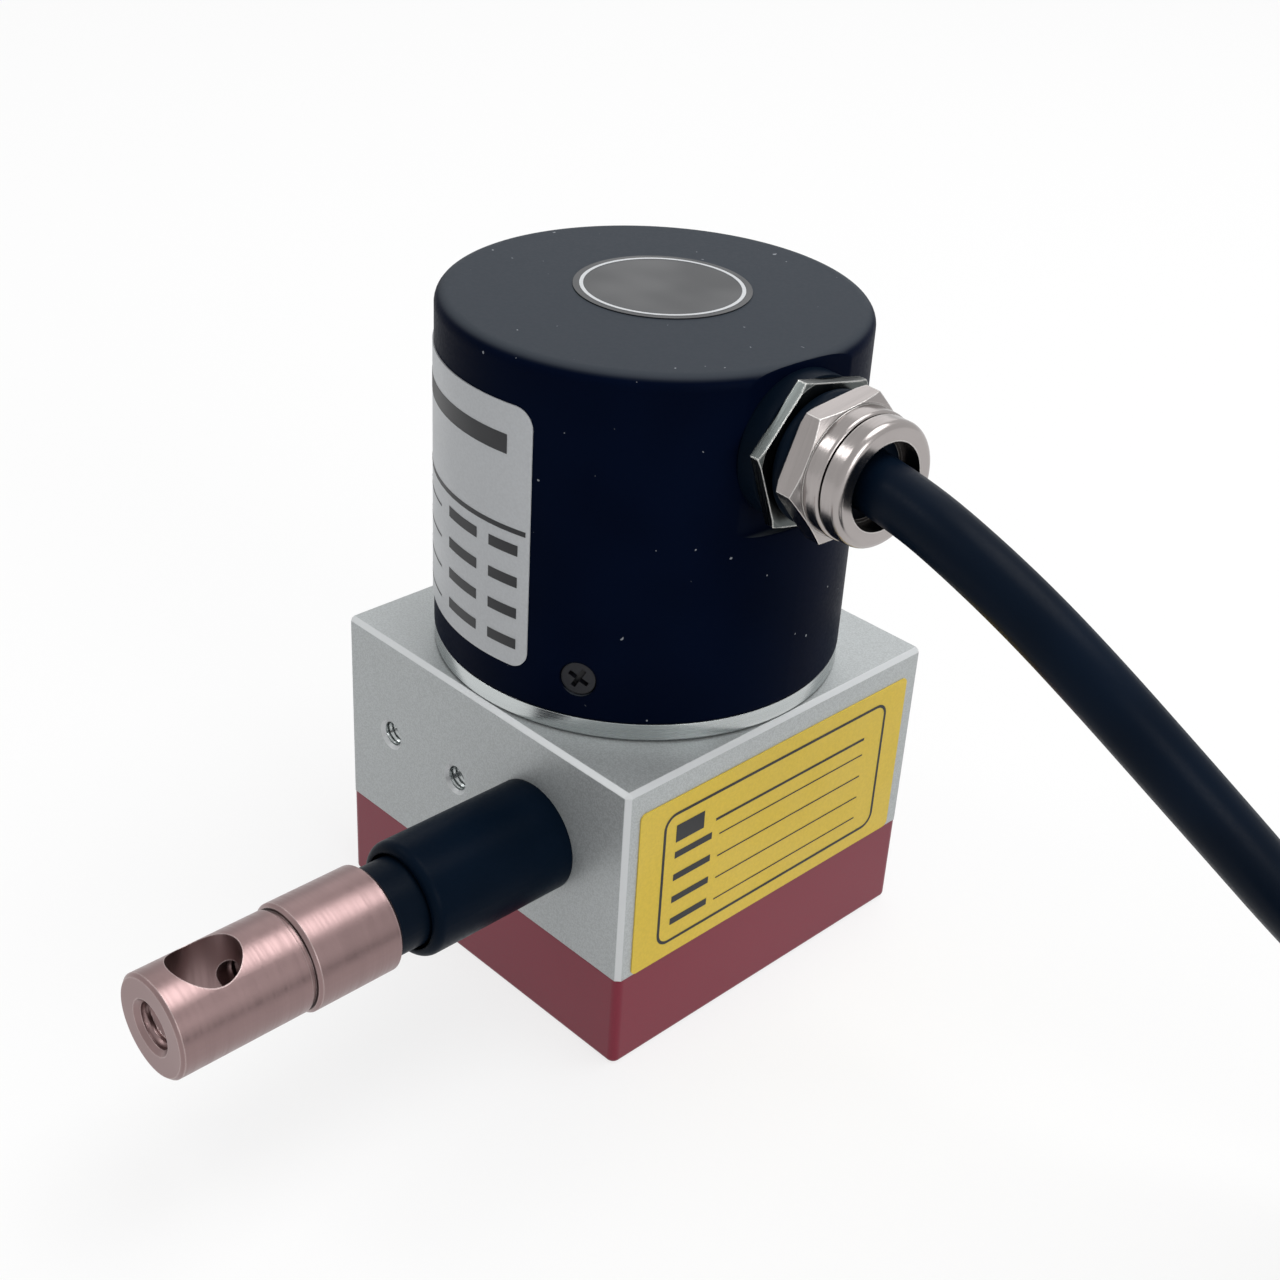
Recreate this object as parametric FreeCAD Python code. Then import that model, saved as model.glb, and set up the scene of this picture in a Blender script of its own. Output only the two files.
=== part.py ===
import FreeCAD, Part
import math
import os

# String potentiometer: a wire drum and its return spring in a square housing,
# with an incremental encoder under a round cover on top.
# Millimetres, +Z up. The origin is on the shaft axis, in the base's bottom face.
# The wire leaves towards -Y. The cable leaves towards +X.

# Square housing
body_width = 40.0
base_height = 10.0
base_edge_round = 0.8
base_foot_round = 0.5
base_floor = 2.0
block_above_outlet = 10.7
block_chamfer = 0.45
drum_side_gap = 2.3
drum_roof_gap = 1.1

# Screws that hold the base to the block
housing_screw_inset = 3.8
housing_screw_shank_radius = 1.5
housing_screw_head_radius = 2.75
housing_screw_head_height = 3.0
housing_screw_head_recess = 0.3
housing_screw_length = 13.0
housing_screw_socket_width = 2.5
housing_screw_socket_depth = 1.6

# Clearances
fit_clearance = 0.02
screw_clearance = 0.1
running_clearance = 0.3

# Tapped mounting holes beside the outlet
mount_hole_radius = 1.25
mount_hole_depth = 5.5
mount_hole_spacing = 10.0
mount_hole_centre_x = -8.4
mount_hole_bevel = 0.35

# Measuring wire and its drum
wire_diameter = 0.6
wire_turn_length = 50.0
wire_travel = 600.0
outlet_height = 20.0
wire_pitch_gap = 0.05
drum_end_margin = 0.2
drum_flange_radius = 11.2
drum_flange_thickness = 1.0
drum_hub_radius = 5.5
drum_hub_gap = 1.2
drum_boss_radius = 3.3
drum_screw_hub_share = 0.405
wire_crest_share = 0.33

# Shaft and its two ball bearings
shaft_radius = 2.5
shaft_bottom_gap = 1.0
shaft_above_disc = 1.4
bearing_outer_radius = 5.5
bearing_width = 4.0
bearing_ring_wall = 0.85
bearing_ball_radius = 0.8
bearing_ball_count = 7
bearing_groove_clearance = 0.05
bearing_cage_wall = 0.5
bearing_cage_height = 2.2
bearing_shield_thickness = 0.2
bearing_shield_inset = 0.15
clip_groove_depth = 0.3
clip_radius = 4.0
clip_thickness = 0.4
clip_gap_angle = 80.0

# Return spring
spring_pocket_wall = 3.5
spring_strip_thickness = 0.35
spring_wall_gap = 0.1
spring_end_gap = 0.1
spring_packed_pitch = 0.6
spring_packed_turns = 4.0
spring_loose_turns = 3.0
spring_arbor_wall = 1.3
spring_plate_step = 0.9
spring_plate_thickness = 1.2
spring_plate_hole_radius = 4.2

# Encoder flange and gasket
gasket_inset = 0.35
gasket_thickness = 0.2
flange_step = 0.05
flange_thickness = 1.6
flange_body_gap = 0.1
flange_body_height = 7.5
flange_pilot_radius = 7.9
flange_pilot_depth = 2.5
bearing_shoulder_radius = 4.6
bearing_lip = 0.4
flange_screw_count = 3
flange_screw_circle_radius = 11.0
flange_screw_radius = 1.25
flange_screw_head_radius = 2.2
flange_screw_head_height = 1.5
flange_screw_length = 9.0
flange_screw_turn = 30.0

# Encoder cover
cover_side_gap = 0.3
cover_height = 33.1
cover_wall = 1.6
cover_top_thickness = 2.0
cover_top_round = 1.2
cover_foot_chamfer = 0.2
cover_flat_cut = 0.9
cover_flat_below_gland = 7.8
cover_flat_round = 0.8
cover_screw_angle = -59.8
cover_screw_count = 3
cover_screw_above_flange = 4.0
cover_screw_head_radius = 1.6
cover_screw_head_height = 1.1
cover_screw_sink = 0.2
cover_screw_shank_radius = 1.0
cover_screw_length = 4.4
cover_screw_cross_length = 2.0
cover_screw_cross_width = 0.45
cover_screw_cross_depth = 0.7

# Encoder inside the cover
hub_gap_above_bearing = 1.2
hub_radius = 5.0
hub_height = 2.4
hub_spigot_radius = 3.4
hub_spigot_height = 1.2
hub_screw_radius = 1.0
disc_side_gap = 1.0
disc_thickness = 0.4
disc_slot_count = 36
disc_slot_inset = 1.8
disc_slot_length = 1.8
disc_slot_width = 0.8
lamp_radius = 1.5
lamp_gap = 0.8
lamp_foot_width = 5.0
lamp_foot_height = 0.8
sensor_width = 5.0
sensor_depth = 4.4
sensor_gap = 0.8
board_side_gap = 1.5
board_thickness = 1.6
board_room_share = 0.335
spacer_count = 3
spacer_inset = 1.6
spacer_radius = 2.0
spacer_turn = 0.2
spacer_thread_radius = 1.0
spacer_thread_length = 3.5
board_screw_head_radius = 1.8
board_screw_head_height = 1.3
board_screw_length = 4.0
connector_length = 9.0
connector_width = 4.5
connector_room_share = 0.37
connector_x = -5.0
chip_width = 7.0
chip_height = 1.2
chip_y = -8.5

# Cable gland
gland_angle = -4.0
gland_below_top = 7.3
gland_washer_radius = 6.6
gland_washer_thickness = 2.0
gland_thread_radius = 5.0
gland_reach_inside = 1.7
locknut_across_flats = 12.7
locknut_thickness = 1.15
locknut_roll = 16.0
gland_seal_radius = 6.0
gland_seal_thickness = 1.5
gland_seal_bulge = 0.35
gland_hex_across_flats = 11.8
gland_hex_thickness = 2.15
gland_hex_roll = 33.5
gland_band_radius = 5.75
gland_band_length = 1.7
gland_band_round = 0.35
gland_groove_radius = 5.25
gland_groove_length = 0.2
gland_collar_radius = 5.6
gland_collar_length = 1.9
gland_collar_round = 0.7
gland_bore_radius = 3.6
gland_mouth_radius = 3.95
gland_mouth_depth = 2.0
gland_insert_length = 8.0
hex_corner_bevel = 0.45

# Wire outlet
outlet_radius = 5.45
outlet_length = 15.4
outlet_mouth_round = 0.88
outlet_bore_radius = 3.0
outlet_mouth_radius = 4.55
outlet_mouth_depth = 4.0
outlet_spigot_radius = 4.0
outlet_spigot_length = 4.6
buffer_radius = 4.2
buffer_foot_length = 1.6
buffer_length = 7.2
buffer_bore_radius = 1.0
buffer_round = 0.3
guide_radius = 3.0
guide_length = 2.9
guide_throat_radius = 0.45
guide_mouth_radius = 1.3
wire_passage_radius = 1.5

# Wire end
wire_end_rear_radius = 4.95
wire_end_rear_length = 8.6
wire_end_front_radius = 4.65
wire_end_length = 21.4
wire_end_edge = 0.3
wire_end_groove_radius = 4.4
wire_end_groove_length = 0.5
eye_radius = 3.05
eye_from_front = 5.2
end_thread_radius = 2.1
end_thread_depth = 10.2
end_thread_bevel = 0.45
ferrule_radius = 1.6
ferrule_length = 7.0
ferrule_inset = 0.2
wire_start_gap = 0.08

# Labels
side_label_low_y = -18.4
side_label_high_y = 18.1
side_label_above_base = 0.1
side_label_below_top = 2.7
side_label_corner = 0.6
label_thickness = 0.12
cover_label_edge_angle = -74.3
cover_label_arc = 96.0
cover_label_above_flange = 3.5
cover_label_below_top = 4.6
cover_label_corner = 1.8
top_label_radius = 8.1
top_label_x = -0.7
top_label_y = 1.5

# Cable
cable_radius = 2.65
cable_gland_gap = 0.03
stub_length = 13.5
tail_lead_count = 4
tail_lead_radius = 0.65
tail_lead_length = 22.0
tail_lead_bend_share = 0.4
tail_lead_bend_height = 1.55
tail_lead_start_spacing = 1.2
tail_lead_bend_spacing = 1.95
tail_lead_end_spacing = 4.9
inner_lead_radius = 0.45
inner_lead_bend_share = 0.29
inner_lead_offset = 0.75
inner_lead_step = 1.9

# Share of the shorter run that an arc of a route takes at each end
bend_share = 0.45

# Cable route, from the gland to the top of the coil
cable_route = [
    (27.33, -1.91, 58.3),
    (32.8, -3.0, 58.2),
    (39.4, -4.0, 57.0),
    (46.1, -4.1, 54.5),
    (52.4, -3.3, 50.8),
    (58.1, -1.5, 46.2),
    (63.3, 1.2, 41.0),
    (67.9, 4.6, 35.4),
    (72.2, 8.8, 29.6),
    (77.0, 13.0, 23.9),
    (82.8, 16.9, 18.7),
    (90.0, 20.4, 14.3),
    (99.6, 23.9, 10.8),
    (109.6, 26.8, 9.2),
]

# Coil of put away cable
coil_x = 119.0
coil_y = -4.0
coil_middle_radius = 29.5
coil_turn_gap = 0.1
coil_lower_turns = 3
coil_edge_share = 0.35

# Cable end beyond the coil
tail_route = [
    (154.3, -7.1, 2.7),
    (154.6, -16.1, 2.7),
    (154.0, -25.1, 2.7),
    (152.5, -34.0, 2.7),
]

# Sizes that follow from the ones above
half_width = body_width / 2
turn_radius = wire_turn_length / (2 * math.pi)
wire_radius = wire_diameter / 2
wire_turns = round(wire_travel / wire_turn_length)
wire_pitch = wire_diameter + wire_pitch_gap
drum_core_radius = turn_radius - wire_radius
drum_half_width = wire_turns * wire_pitch / 2 + drum_end_margin
drum_low = outlet_height - drum_half_width - drum_flange_thickness
drum_high = outlet_height + drum_half_width + drum_flange_thickness
drum_hub_length = drum_low - base_height - drum_hub_gap
drum_screw_radius = drum_hub_length * drum_screw_hub_share
drum_pocket_radius = drum_flange_radius + drum_side_gap
roof_low = drum_high + drum_roof_gap
block_top = outlet_height + block_above_outlet
flange_low = block_top + gasket_thickness
cover_low = flange_low + flange_thickness
cover_high = cover_low + cover_height
cover_radius = half_width - cover_side_gap
cover_inner_radius = cover_radius - cover_wall
cover_flat_distance = cover_radius - cover_flat_cut
flange_radius = cover_radius - flange_step
flange_body_radius = cover_inner_radius - flange_body_gap
flange_top = cover_low + flange_body_height
gasket_radius = flange_radius - gasket_inset
pilot_low = flange_low - flange_pilot_depth
lower_bearing_low = pilot_low + bearing_lip
lower_bearing_high = lower_bearing_low + bearing_width
upper_bearing_low = flange_top - bearing_width
hub_low = flange_top + hub_gap_above_bearing
disc_low = hub_low + hub_height
disc_high = disc_low + disc_thickness
shaft_low = base_floor + shaft_bottom_gap
shaft_high = disc_high + shaft_above_disc
gland_height = cover_high - gland_below_top
encoder_room = gland_height - inner_lead_offset - board_thickness - disc_high
board_low = disc_high + encoder_room * board_room_share
board_high = board_low + board_thickness
connector_height = encoder_room * connector_room_share
inner_lead_bend = encoder_room * inner_lead_bend_share
board_radius = cover_inner_radius - board_side_gap
spacer_circle_radius = board_radius - spacer_inset
disc_radius = spacer_circle_radius - spacer_radius - disc_side_gap
disc_slot_radius = disc_radius - disc_slot_inset
plate_low = base_height - spring_plate_thickness
arbor_low = shaft_low
arbor_radius = shaft_radius + spring_arbor_wall
spring_arbor_height = plate_low - arbor_low
spring_strip_height = spring_arbor_height - 2 * spring_end_gap
spring_pocket_radius = half_width - spring_pocket_wall
spring_plate_radius = spring_pocket_radius + spring_plate_step
gland_inner_end = cover_flat_distance - gland_reach_inside
washer_high = cover_flat_distance + gland_washer_thickness
locknut_high = washer_high + locknut_thickness
seal_high = locknut_high + gland_seal_thickness
gland_hex_high = seal_high + gland_hex_thickness
band_high = gland_hex_high + gland_band_length
collar_low = band_high + gland_groove_length
gland_front = collar_low + gland_collar_length
gland_mouth_low = gland_front - gland_mouth_depth
buffer_low = outlet_length - outlet_mouth_depth
wire_end_low = buffer_low + buffer_length
wire_end_high = wire_end_low + wire_end_length
side_label_low_z = base_height + side_label_above_base
side_label_high_z = block_top - side_label_below_top
cover_label_low_z = cover_low + cover_label_above_flange
cover_label_high_z = cover_high - cover_label_below_top
coil_pitch = 2 * cable_radius + coil_turn_gap


def cylinder(radius, low, high, x=0.0, y=0.0):
    """An upright cylinder between two heights."""
    return Part.makeCylinder(radius, high - low, FreeCAD.Vector(x, y, low))


def ring(outer, inner, low, high, x=0.0, y=0.0):
    """An upright tube between two heights."""
    return cylinder(outer, low, high, x, y).cut(cylinder(inner, low, high, x, y))


def block(x_low, x_high, y_low, y_high, z_low, z_high):
    """A box between its two corners."""
    corner = FreeCAD.Vector(x_low, y_low, z_low)
    return Part.makeBox(x_high - x_low, y_high - y_low, z_high - z_low, corner)


def turned(edges):
    """A body turned about Z from a closed profile in the XZ plane."""
    face = Part.Face(Part.Wire(edges))
    return face.revolve(FreeCAD.Vector(0, 0, 0), FreeCAD.Vector(0, 0, 1), 360)


def outline(points):
    """Straight edges through (radius, height) points, closed to the first."""
    corners = [FreeCAD.Vector(radius, 0, height) for radius, height in points]
    return Part.makePolygon(corners + corners[:1]).Edges


def hexagon(across_flats, low, high, bevel_low, bevel_high):
    """A hexagon bar whose corners are turned off at the chosen ends."""
    corner = across_flats / math.sqrt(3)
    points = []
    for side in range(7):
        angle = math.radians(60 * side)
        points.append(FreeCAD.Vector(corner * math.cos(angle), corner * math.sin(angle), low))
    bar = Part.Face(Part.makePolygon(points)).extrude(FreeCAD.Vector(0, 0, high - low))
    edge = corner - bevel_low
    top_edge = corner - bevel_high
    slope = hex_corner_bevel
    lathe = turned(outline([
        (0, low), (edge, low), (corner, low + slope * bevel_low),
        (corner, high - slope * bevel_high), (top_edge, high), (0, high)]))
    return bar.common(lathe)


def polar(radius, angle):
    """The X and Y of a point at an angle in degrees about the shaft."""
    return radius * math.cos(math.radians(angle)), radius * math.sin(math.radians(angle))


def seated(shape, origin, direction, roll=0.0):
    """Turns a shape built along +Z to a direction, and moves it to an origin."""
    up = FreeCAD.Vector(0, 0, 1)
    turn = FreeCAD.Rotation(up, direction).multiply(FreeCAD.Rotation(up, roll))
    shape.Placement = FreeCAD.Placement(origin, turn)
    return shape


def on_gland(shape, roll=0.0):
    """Puts a shape on the gland's axis, where height is distance from the shaft."""
    x, y = polar(1.0, gland_angle)
    return seated(shape, FreeCAD.Vector(0, 0, gland_height), FreeCAD.Vector(x, y, 0), roll)


def on_outlet(shape, roll=0.0):
    """Puts a shape on the outlet's axis, where height is distance from the block."""
    origin = FreeCAD.Vector(turn_radius, -half_width, outlet_height)
    return seated(shape, origin, FreeCAD.Vector(0, -1, 0), roll)


def on_radius(shape, angle, height):
    """Puts a shape on a level radius, where height is distance from the shaft."""
    x, y = polar(1.0, angle)
    return seated(shape, FreeCAD.Vector(0, 0, height), FreeCAD.Vector(x, y, 0))


def screw_corners():
    """The four corners that hold the housing's screws."""
    reach = half_width - housing_screw_inset
    return [(sx * reach, sy * reach) for sx in (-1, 1) for sy in (-1, 1)]


def circle_points(radius, count, first_angle):
    """Evenly spaced points on a circle about the shaft."""
    return [polar(radius, first_angle + 360.0 * k / count) for k in range(count)]


def flange_screw_places():
    """The places of the screws between the block and the flange."""
    return circle_points(flange_screw_circle_radius, flange_screw_count, flange_screw_turn)


def spacer_places():
    """The places of the posts that carry the board."""
    return circle_points(spacer_circle_radius, spacer_count, spacer_turn)


def edges_along_z(shape):
    """The upright straight edges at a shape's outer corners."""
    found = []
    for edge in shape.Edges:
        low = edge.BoundBox
        if low.XLength < 0.001 and low.YLength < 0.001:
            found.append(edge)
    return found


def edges_at_height(shape, height):
    """The edges that lie level at a height."""
    found = []
    for edge in shape.Edges:
        box = edge.BoundBox
        if abs(box.ZMin - height) < 0.001 and abs(box.ZMax - height) < 0.001:
            found.append(edge)
    return found


def spring_housing():
    """The red base: a square cup for the return spring."""
    body = block(-half_width, half_width, -half_width, half_width, 0, base_height)
    body = body.makeFillet(base_edge_round, edges_along_z(body))
    body = body.makeFillet(base_foot_round, edges_at_height(body, 0))
    body = body.cut(cylinder(spring_pocket_radius, base_floor, base_height))
    seat_radius = spring_plate_radius + fit_clearance
    body = body.cut(cylinder(seat_radius, plate_low, base_height))
    for x, y in screw_corners():
        hole = housing_screw_shank_radius + screw_clearance
        recess = housing_screw_head_radius + screw_clearance
        seat = housing_screw_head_recess + housing_screw_head_height
        body = body.cut(cylinder(hole, 0, base_height, x, y))
        body = body.cut(cylinder(recess, 0, seat, x, y))
    return body


def drum_housing():
    """The silver block: a roofed pocket for the drum, bored for the outlet."""
    body = block(-half_width, half_width, -half_width, half_width, base_height, block_top)
    edges = edges_along_z(body) + edges_at_height(body, block_top)
    body = body.makeChamfer(block_chamfer, edges)
    body = body.cut(cylinder(drum_pocket_radius, base_height, roof_low))
    body = body.cut(cylinder(flange_pilot_radius + fit_clearance, roof_low, block_top))
    screw_top = housing_screw_head_recess + housing_screw_head_height + housing_screw_length
    for x, y in screw_corners():
        thread = housing_screw_shank_radius + fit_clearance
        body = body.cut(cylinder(thread, base_height, screw_top + running_clearance, x, y))
    for x, y in flange_screw_places():
        head = flange_screw_head_radius + screw_clearance
        seat = roof_low + flange_screw_head_height
        hole = flange_screw_radius + screw_clearance
        body = body.cut(cylinder(hole, roof_low, block_top, x, y))
        body = body.cut(cylinder(head, roof_low, seat, x, y))
    for side in (-1, 1):
        body = body.cut(mount_hole(mount_hole_centre_x + side * mount_hole_spacing / 2))
    spigot = cylinder(outlet_spigot_radius + fit_clearance, -outlet_spigot_length, 0)
    guide_low = -outlet_spigot_length - guide_length
    guide = cylinder(guide_radius + fit_clearance, guide_low, -outlet_spigot_length)
    passage = cylinder(wire_passage_radius, -half_width, 0)
    for bore in (spigot, guide, passage):
        body = body.cut(on_outlet(bore))
    return body


def mount_hole(x):
    """The cutter of one tapped mounting hole in the outlet's face."""
    drill = turned(outline([
        (0, 0), (mount_hole_radius + mount_hole_bevel, 0),
        (mount_hole_radius, -mount_hole_bevel), (mount_hole_radius, -mount_hole_depth),
        (0, -mount_hole_depth - mount_hole_radius / 2)]))
    origin = FreeCAD.Vector(x, -half_width, outlet_height)
    return seated(drill, origin, FreeCAD.Vector(0, -1, 0))


def housing_screws():
    """Four socket head screws, from the bottom up into the block."""
    screws = []
    head_low = housing_screw_head_recess
    head_high = head_low + housing_screw_head_height
    for x, y in screw_corners():
        head = cylinder(housing_screw_head_radius, head_low, head_high, x, y)
        shank_high = head_high + housing_screw_length
        shank = cylinder(housing_screw_shank_radius, head_high, shank_high, x, y)
        socket = hexagon(housing_screw_socket_width, 0, housing_screw_socket_depth, 0, 0)
        socket.translate(FreeCAD.Vector(x, y, head_low))
        screws.append(head.fuse(shank).cut(socket))
    return Part.makeCompound(screws)


def spring_plate():
    """The plate that closes the spring's pocket under the drum."""
    return ring(spring_plate_radius, spring_plate_hole_radius, plate_low, base_height)


def half_turns():
    """Radius and centre of each half turn of the spring, from the wall inwards.

    Each half turn is drawn about its own centre, so that neighbours are tangent.
    """
    radius = spring_pocket_radius - spring_wall_gap - spring_strip_thickness / 2
    last_radius = arbor_radius + spring_strip_thickness / 2
    packed = round(2 * spring_packed_turns)
    loose = round(2 * spring_loose_turns)
    packed_step = spring_packed_pitch / 2
    loose_step = (radius - packed * packed_step - last_radius) / loose
    steps = [packed_step] * packed + [loose_step] * loose
    centre = 0.0
    arcs = []
    side = 1
    for step in steps:
        arcs.append((radius, centre, side))
        radius -= step
        centre -= side * step
        side = -side
    return arcs


def spiral_edges(shift):
    """The half circle edges of the spring's strip, moved sideways by a shift."""
    edges = []
    for radius, centre, side in half_turns():
        reach = radius + shift
        start = FreeCAD.Vector(centre + side * reach, 0, 0)
        middle = FreeCAD.Vector(centre, side * reach, 0)
        end = FreeCAD.Vector(centre - side * reach, 0, 0)
        edges.append(Part.Arc(start, middle, end).toShape())
    return edges


def spiral_ends(shift):
    """The two ends of the spring's strip, moved sideways by a shift."""
    arcs = half_turns()
    radius, centre, side = arcs[0]
    at_wall = FreeCAD.Vector(centre + side * (radius + shift), 0, 0)
    radius, centre, side = arcs[-1]
    at_arbor = FreeCAD.Vector(centre - side * (radius + shift), 0, 0)
    return at_wall, at_arbor


def power_spring():
    """The return spring: one strip wound from the pocket's wall to the arbor."""
    half = spring_strip_thickness / 2
    ends = zip(spiral_ends(half), spiral_ends(-half))
    caps = [Part.makeLine(outer, inner) for outer, inner in ends]
    edges = spiral_edges(half) + spiral_edges(-half) + caps
    wire = Part.Wire(Part.__sortEdges__(edges))
    strip = Part.Face(wire).extrude(FreeCAD.Vector(0, 0, spring_strip_height))
    strip.translate(FreeCAD.Vector(0, 0, arbor_low + spring_end_gap))
    return strip


def spring_arbor():
    """The sleeve on the shaft that the spring's inner end winds on."""
    arbor_high = arbor_low + spring_arbor_height
    return ring(arbor_radius - fit_clearance, shaft_radius + fit_clearance, arbor_low, arbor_high)


def shaft():
    """The one shaft that carries arbor, drum and code disc."""
    body = cylinder(shaft_radius, shaft_low, shaft_high)
    groove_low = flange_top + screw_clearance
    groove = ring(clip_radius, shaft_radius - clip_groove_depth,
                  groove_low, groove_low + clip_thickness + fit_clearance)
    return body.cut(groove)


def shaft_clip():
    """The spring clip in the shaft's groove, above the upper bearing."""
    low = flange_top + screw_clearance + fit_clearance / 2
    inner = shaft_radius - clip_groove_depth + fit_clearance
    clip = ring(clip_radius, inner, low, low + clip_thickness)
    half_gap = math.tan(math.radians(clip_gap_angle / 2)) * clip_radius
    centre = FreeCAD.Vector(0, 0, low)
    points = [centre, centre + FreeCAD.Vector(clip_radius, half_gap, 0),
              centre + FreeCAD.Vector(clip_radius, -half_gap, 0), centre]
    gap = Part.Face(Part.makePolygon(points)).extrude(FreeCAD.Vector(0, 0, clip_thickness))
    return clip.cut(gap)


def wire_drum():
    """The drum: a core between two flanges, with a hub below and a boss above."""
    bore = shaft_radius + fit_clearance
    hub_end = drum_low - drum_hub_length
    profile = outline([
        (bore, hub_end), (drum_hub_radius, hub_end), (drum_hub_radius, drum_low),
        (drum_flange_radius, drum_low),
        (drum_flange_radius, drum_low + drum_flange_thickness),
        (drum_core_radius, drum_low + drum_flange_thickness),
        (drum_core_radius, drum_high - drum_flange_thickness),
        (drum_flange_radius, drum_high - drum_flange_thickness),
        (drum_flange_radius, drum_high), (drum_boss_radius, drum_high),
        (drum_boss_radius, lower_bearing_low), (bore, lower_bearing_low)])
    drum = turned(profile)
    hole = cylinder(drum_screw_radius + fit_clearance, 0, drum_flange_radius)
    return drum.cut(on_radius(hole, 0, hub_end + drum_hub_length / 2))


def drum_set_screw():
    """The set screw that holds the drum's hub to the shaft."""
    screw = cylinder(drum_screw_radius, shaft_radius + fit_clearance, drum_hub_radius)
    return on_radius(screw, 0, drum_low - drum_hub_length / 2)


def wound_wire():
    """The wire's turns on the drum, side by side in one layer of ridges."""
    low = outlet_height - wire_turns * wire_pitch / 2
    inner = drum_core_radius + fit_clearance
    crest = turn_radius + wire_radius
    points = [(inner, low)]
    for turn in range(wire_turns):
        middle = low + (turn + 0.5) * wire_pitch
        points.append((turn_radius, middle - wire_pitch / 2))
        points.append((crest, middle - wire_pitch * wire_crest_share / 2))
        points.append((crest, middle + wire_pitch * wire_crest_share / 2))
    high = low + wire_turns * wire_pitch
    points += [(turn_radius, high), (inner, high)]
    return turned(outline(points))


def bearing_positions():
    """The lower ends of the two bearings."""
    return (lower_bearing_low, upper_bearing_low)


def ball_circle_radius():
    """The radius of the circle that the balls' centres run on."""
    return (shaft_radius + bearing_outer_radius) / 2


def bearing_groove(low):
    """The ring shaped cutter of a bearing's raceways."""
    centre = FreeCAD.Vector(0, 0, low + bearing_width / 2)
    radius = bearing_ball_radius + bearing_groove_clearance
    return Part.makeTorus(ball_circle_radius(), radius, centre)


def bearing_outer_rings():
    """The outer rings, fixed in the flange."""
    rings = []
    for low in bearing_positions():
        inner = bearing_outer_radius - bearing_ring_wall
        part = ring(bearing_outer_radius, inner, low, low + bearing_width)
        rings.append(part.cut(bearing_groove(low)))
    return Part.makeCompound(rings)


def bearing_inner_rings():
    """The inner rings, which turn with the shaft."""
    rings = []
    for low in bearing_positions():
        outer = shaft_radius + bearing_ring_wall
        part = ring(outer, shaft_radius + fit_clearance, low, low + bearing_width)
        rings.append(part.cut(bearing_groove(low)))
    return Part.makeCompound(rings)


def bearing_balls():
    """The balls of both bearings."""
    balls = []
    for low in bearing_positions():
        for x, y in circle_points(ball_circle_radius(), bearing_ball_count, 0):
            centre = FreeCAD.Vector(x, y, low + bearing_width / 2)
            balls.append(Part.makeSphere(bearing_ball_radius, centre))
    return Part.makeCompound(balls)


def bearing_cages():
    """The cages that keep the balls apart."""
    cages = []
    for low in bearing_positions():
        middle = low + bearing_width / 2
        half = bearing_cage_wall / 2
        cage = ring(ball_circle_radius() + half, ball_circle_radius() - half,
                    middle - bearing_cage_height / 2, middle + bearing_cage_height / 2)
        for ball in range(bearing_ball_count):
            pocket_radius = bearing_ball_radius + bearing_groove_clearance
            pocket = cylinder(pocket_radius, 0, bearing_outer_radius)
            cage = cage.cut(on_radius(pocket, 360.0 * ball / bearing_ball_count, middle))
        cages.append(cage)
    return Part.makeCompound(cages)


def bearing_shields():
    """The thin shields that close both faces of each bearing."""
    shields = []
    outer = bearing_outer_radius - bearing_ring_wall - fit_clearance
    inner = shaft_radius + bearing_ring_wall + bearing_shield_inset
    for low in bearing_positions():
        for face in (low + bearing_shield_inset,
                     low + bearing_width - bearing_shield_inset - bearing_shield_thickness):
            shields.append(ring(outer, inner, face, face + bearing_shield_thickness))
    return Part.makeCompound(shields)


def flange_gasket():
    """The thin black gasket between the block and the encoder's flange."""
    gasket = ring(gasket_radius, flange_pilot_radius + screw_clearance, block_top, flange_low)
    for x, y in flange_screw_places():
        hole = cylinder(flange_screw_radius + screw_clearance, block_top, flange_low, x, y)
        gasket = gasket.cut(hole)
    return gasket


def encoder_flange():
    """The encoder's turned body: pilot, rim, cover seat and bearing bore."""
    bearing_bore = bearing_outer_radius + fit_clearance
    body = turned(outline([
        (bearing_bore, pilot_low), (flange_pilot_radius, pilot_low),
        (flange_pilot_radius, flange_low), (flange_radius, flange_low),
        (flange_radius, cover_low), (flange_body_radius, cover_low),
        (flange_body_radius, flange_top), (bearing_bore, flange_top),
        (bearing_bore, upper_bearing_low), (bearing_shoulder_radius, upper_bearing_low),
        (bearing_shoulder_radius, lower_bearing_high), (bearing_bore, lower_bearing_high)]))
    screw_top = roof_low + flange_screw_head_height + flange_screw_length
    for x, y in flange_screw_places():
        thread = flange_screw_radius + fit_clearance
        body = body.cut(cylinder(thread, flange_low, screw_top + screw_clearance, x, y))
    for x, y in spacer_places():
        thread = spacer_thread_radius + fit_clearance
        low = flange_top - spacer_thread_length - screw_clearance
        body = body.cut(cylinder(thread, low, flange_top, x, y))
    for k in range(cover_screw_count):
        inner = cover_screw_tip() - screw_clearance
        hole = cylinder(cover_screw_shank_radius + fit_clearance, inner, flange_radius)
        body = body.cut(on_radius(hole, cover_screw_position(k), cover_screw_height()))
    return body


def flange_screws():
    """Three screws from inside the block's roof up into the flange."""
    screws = []
    head_high = roof_low + flange_screw_head_height
    for x, y in flange_screw_places():
        head = cylinder(flange_screw_head_radius, roof_low, head_high, x, y)
        shank = cylinder(flange_screw_radius, head_high, head_high + flange_screw_length, x, y)
        screws.append(head.fuse(shank))
    return Part.makeCompound(screws)


def cover_screw_position(k):
    """The angle of one of the cover's screws."""
    return cover_screw_angle + 360.0 * k / cover_screw_count


def cover_screw_height():
    """The height of the cover's screws."""
    return cover_low + cover_screw_above_flange


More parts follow.
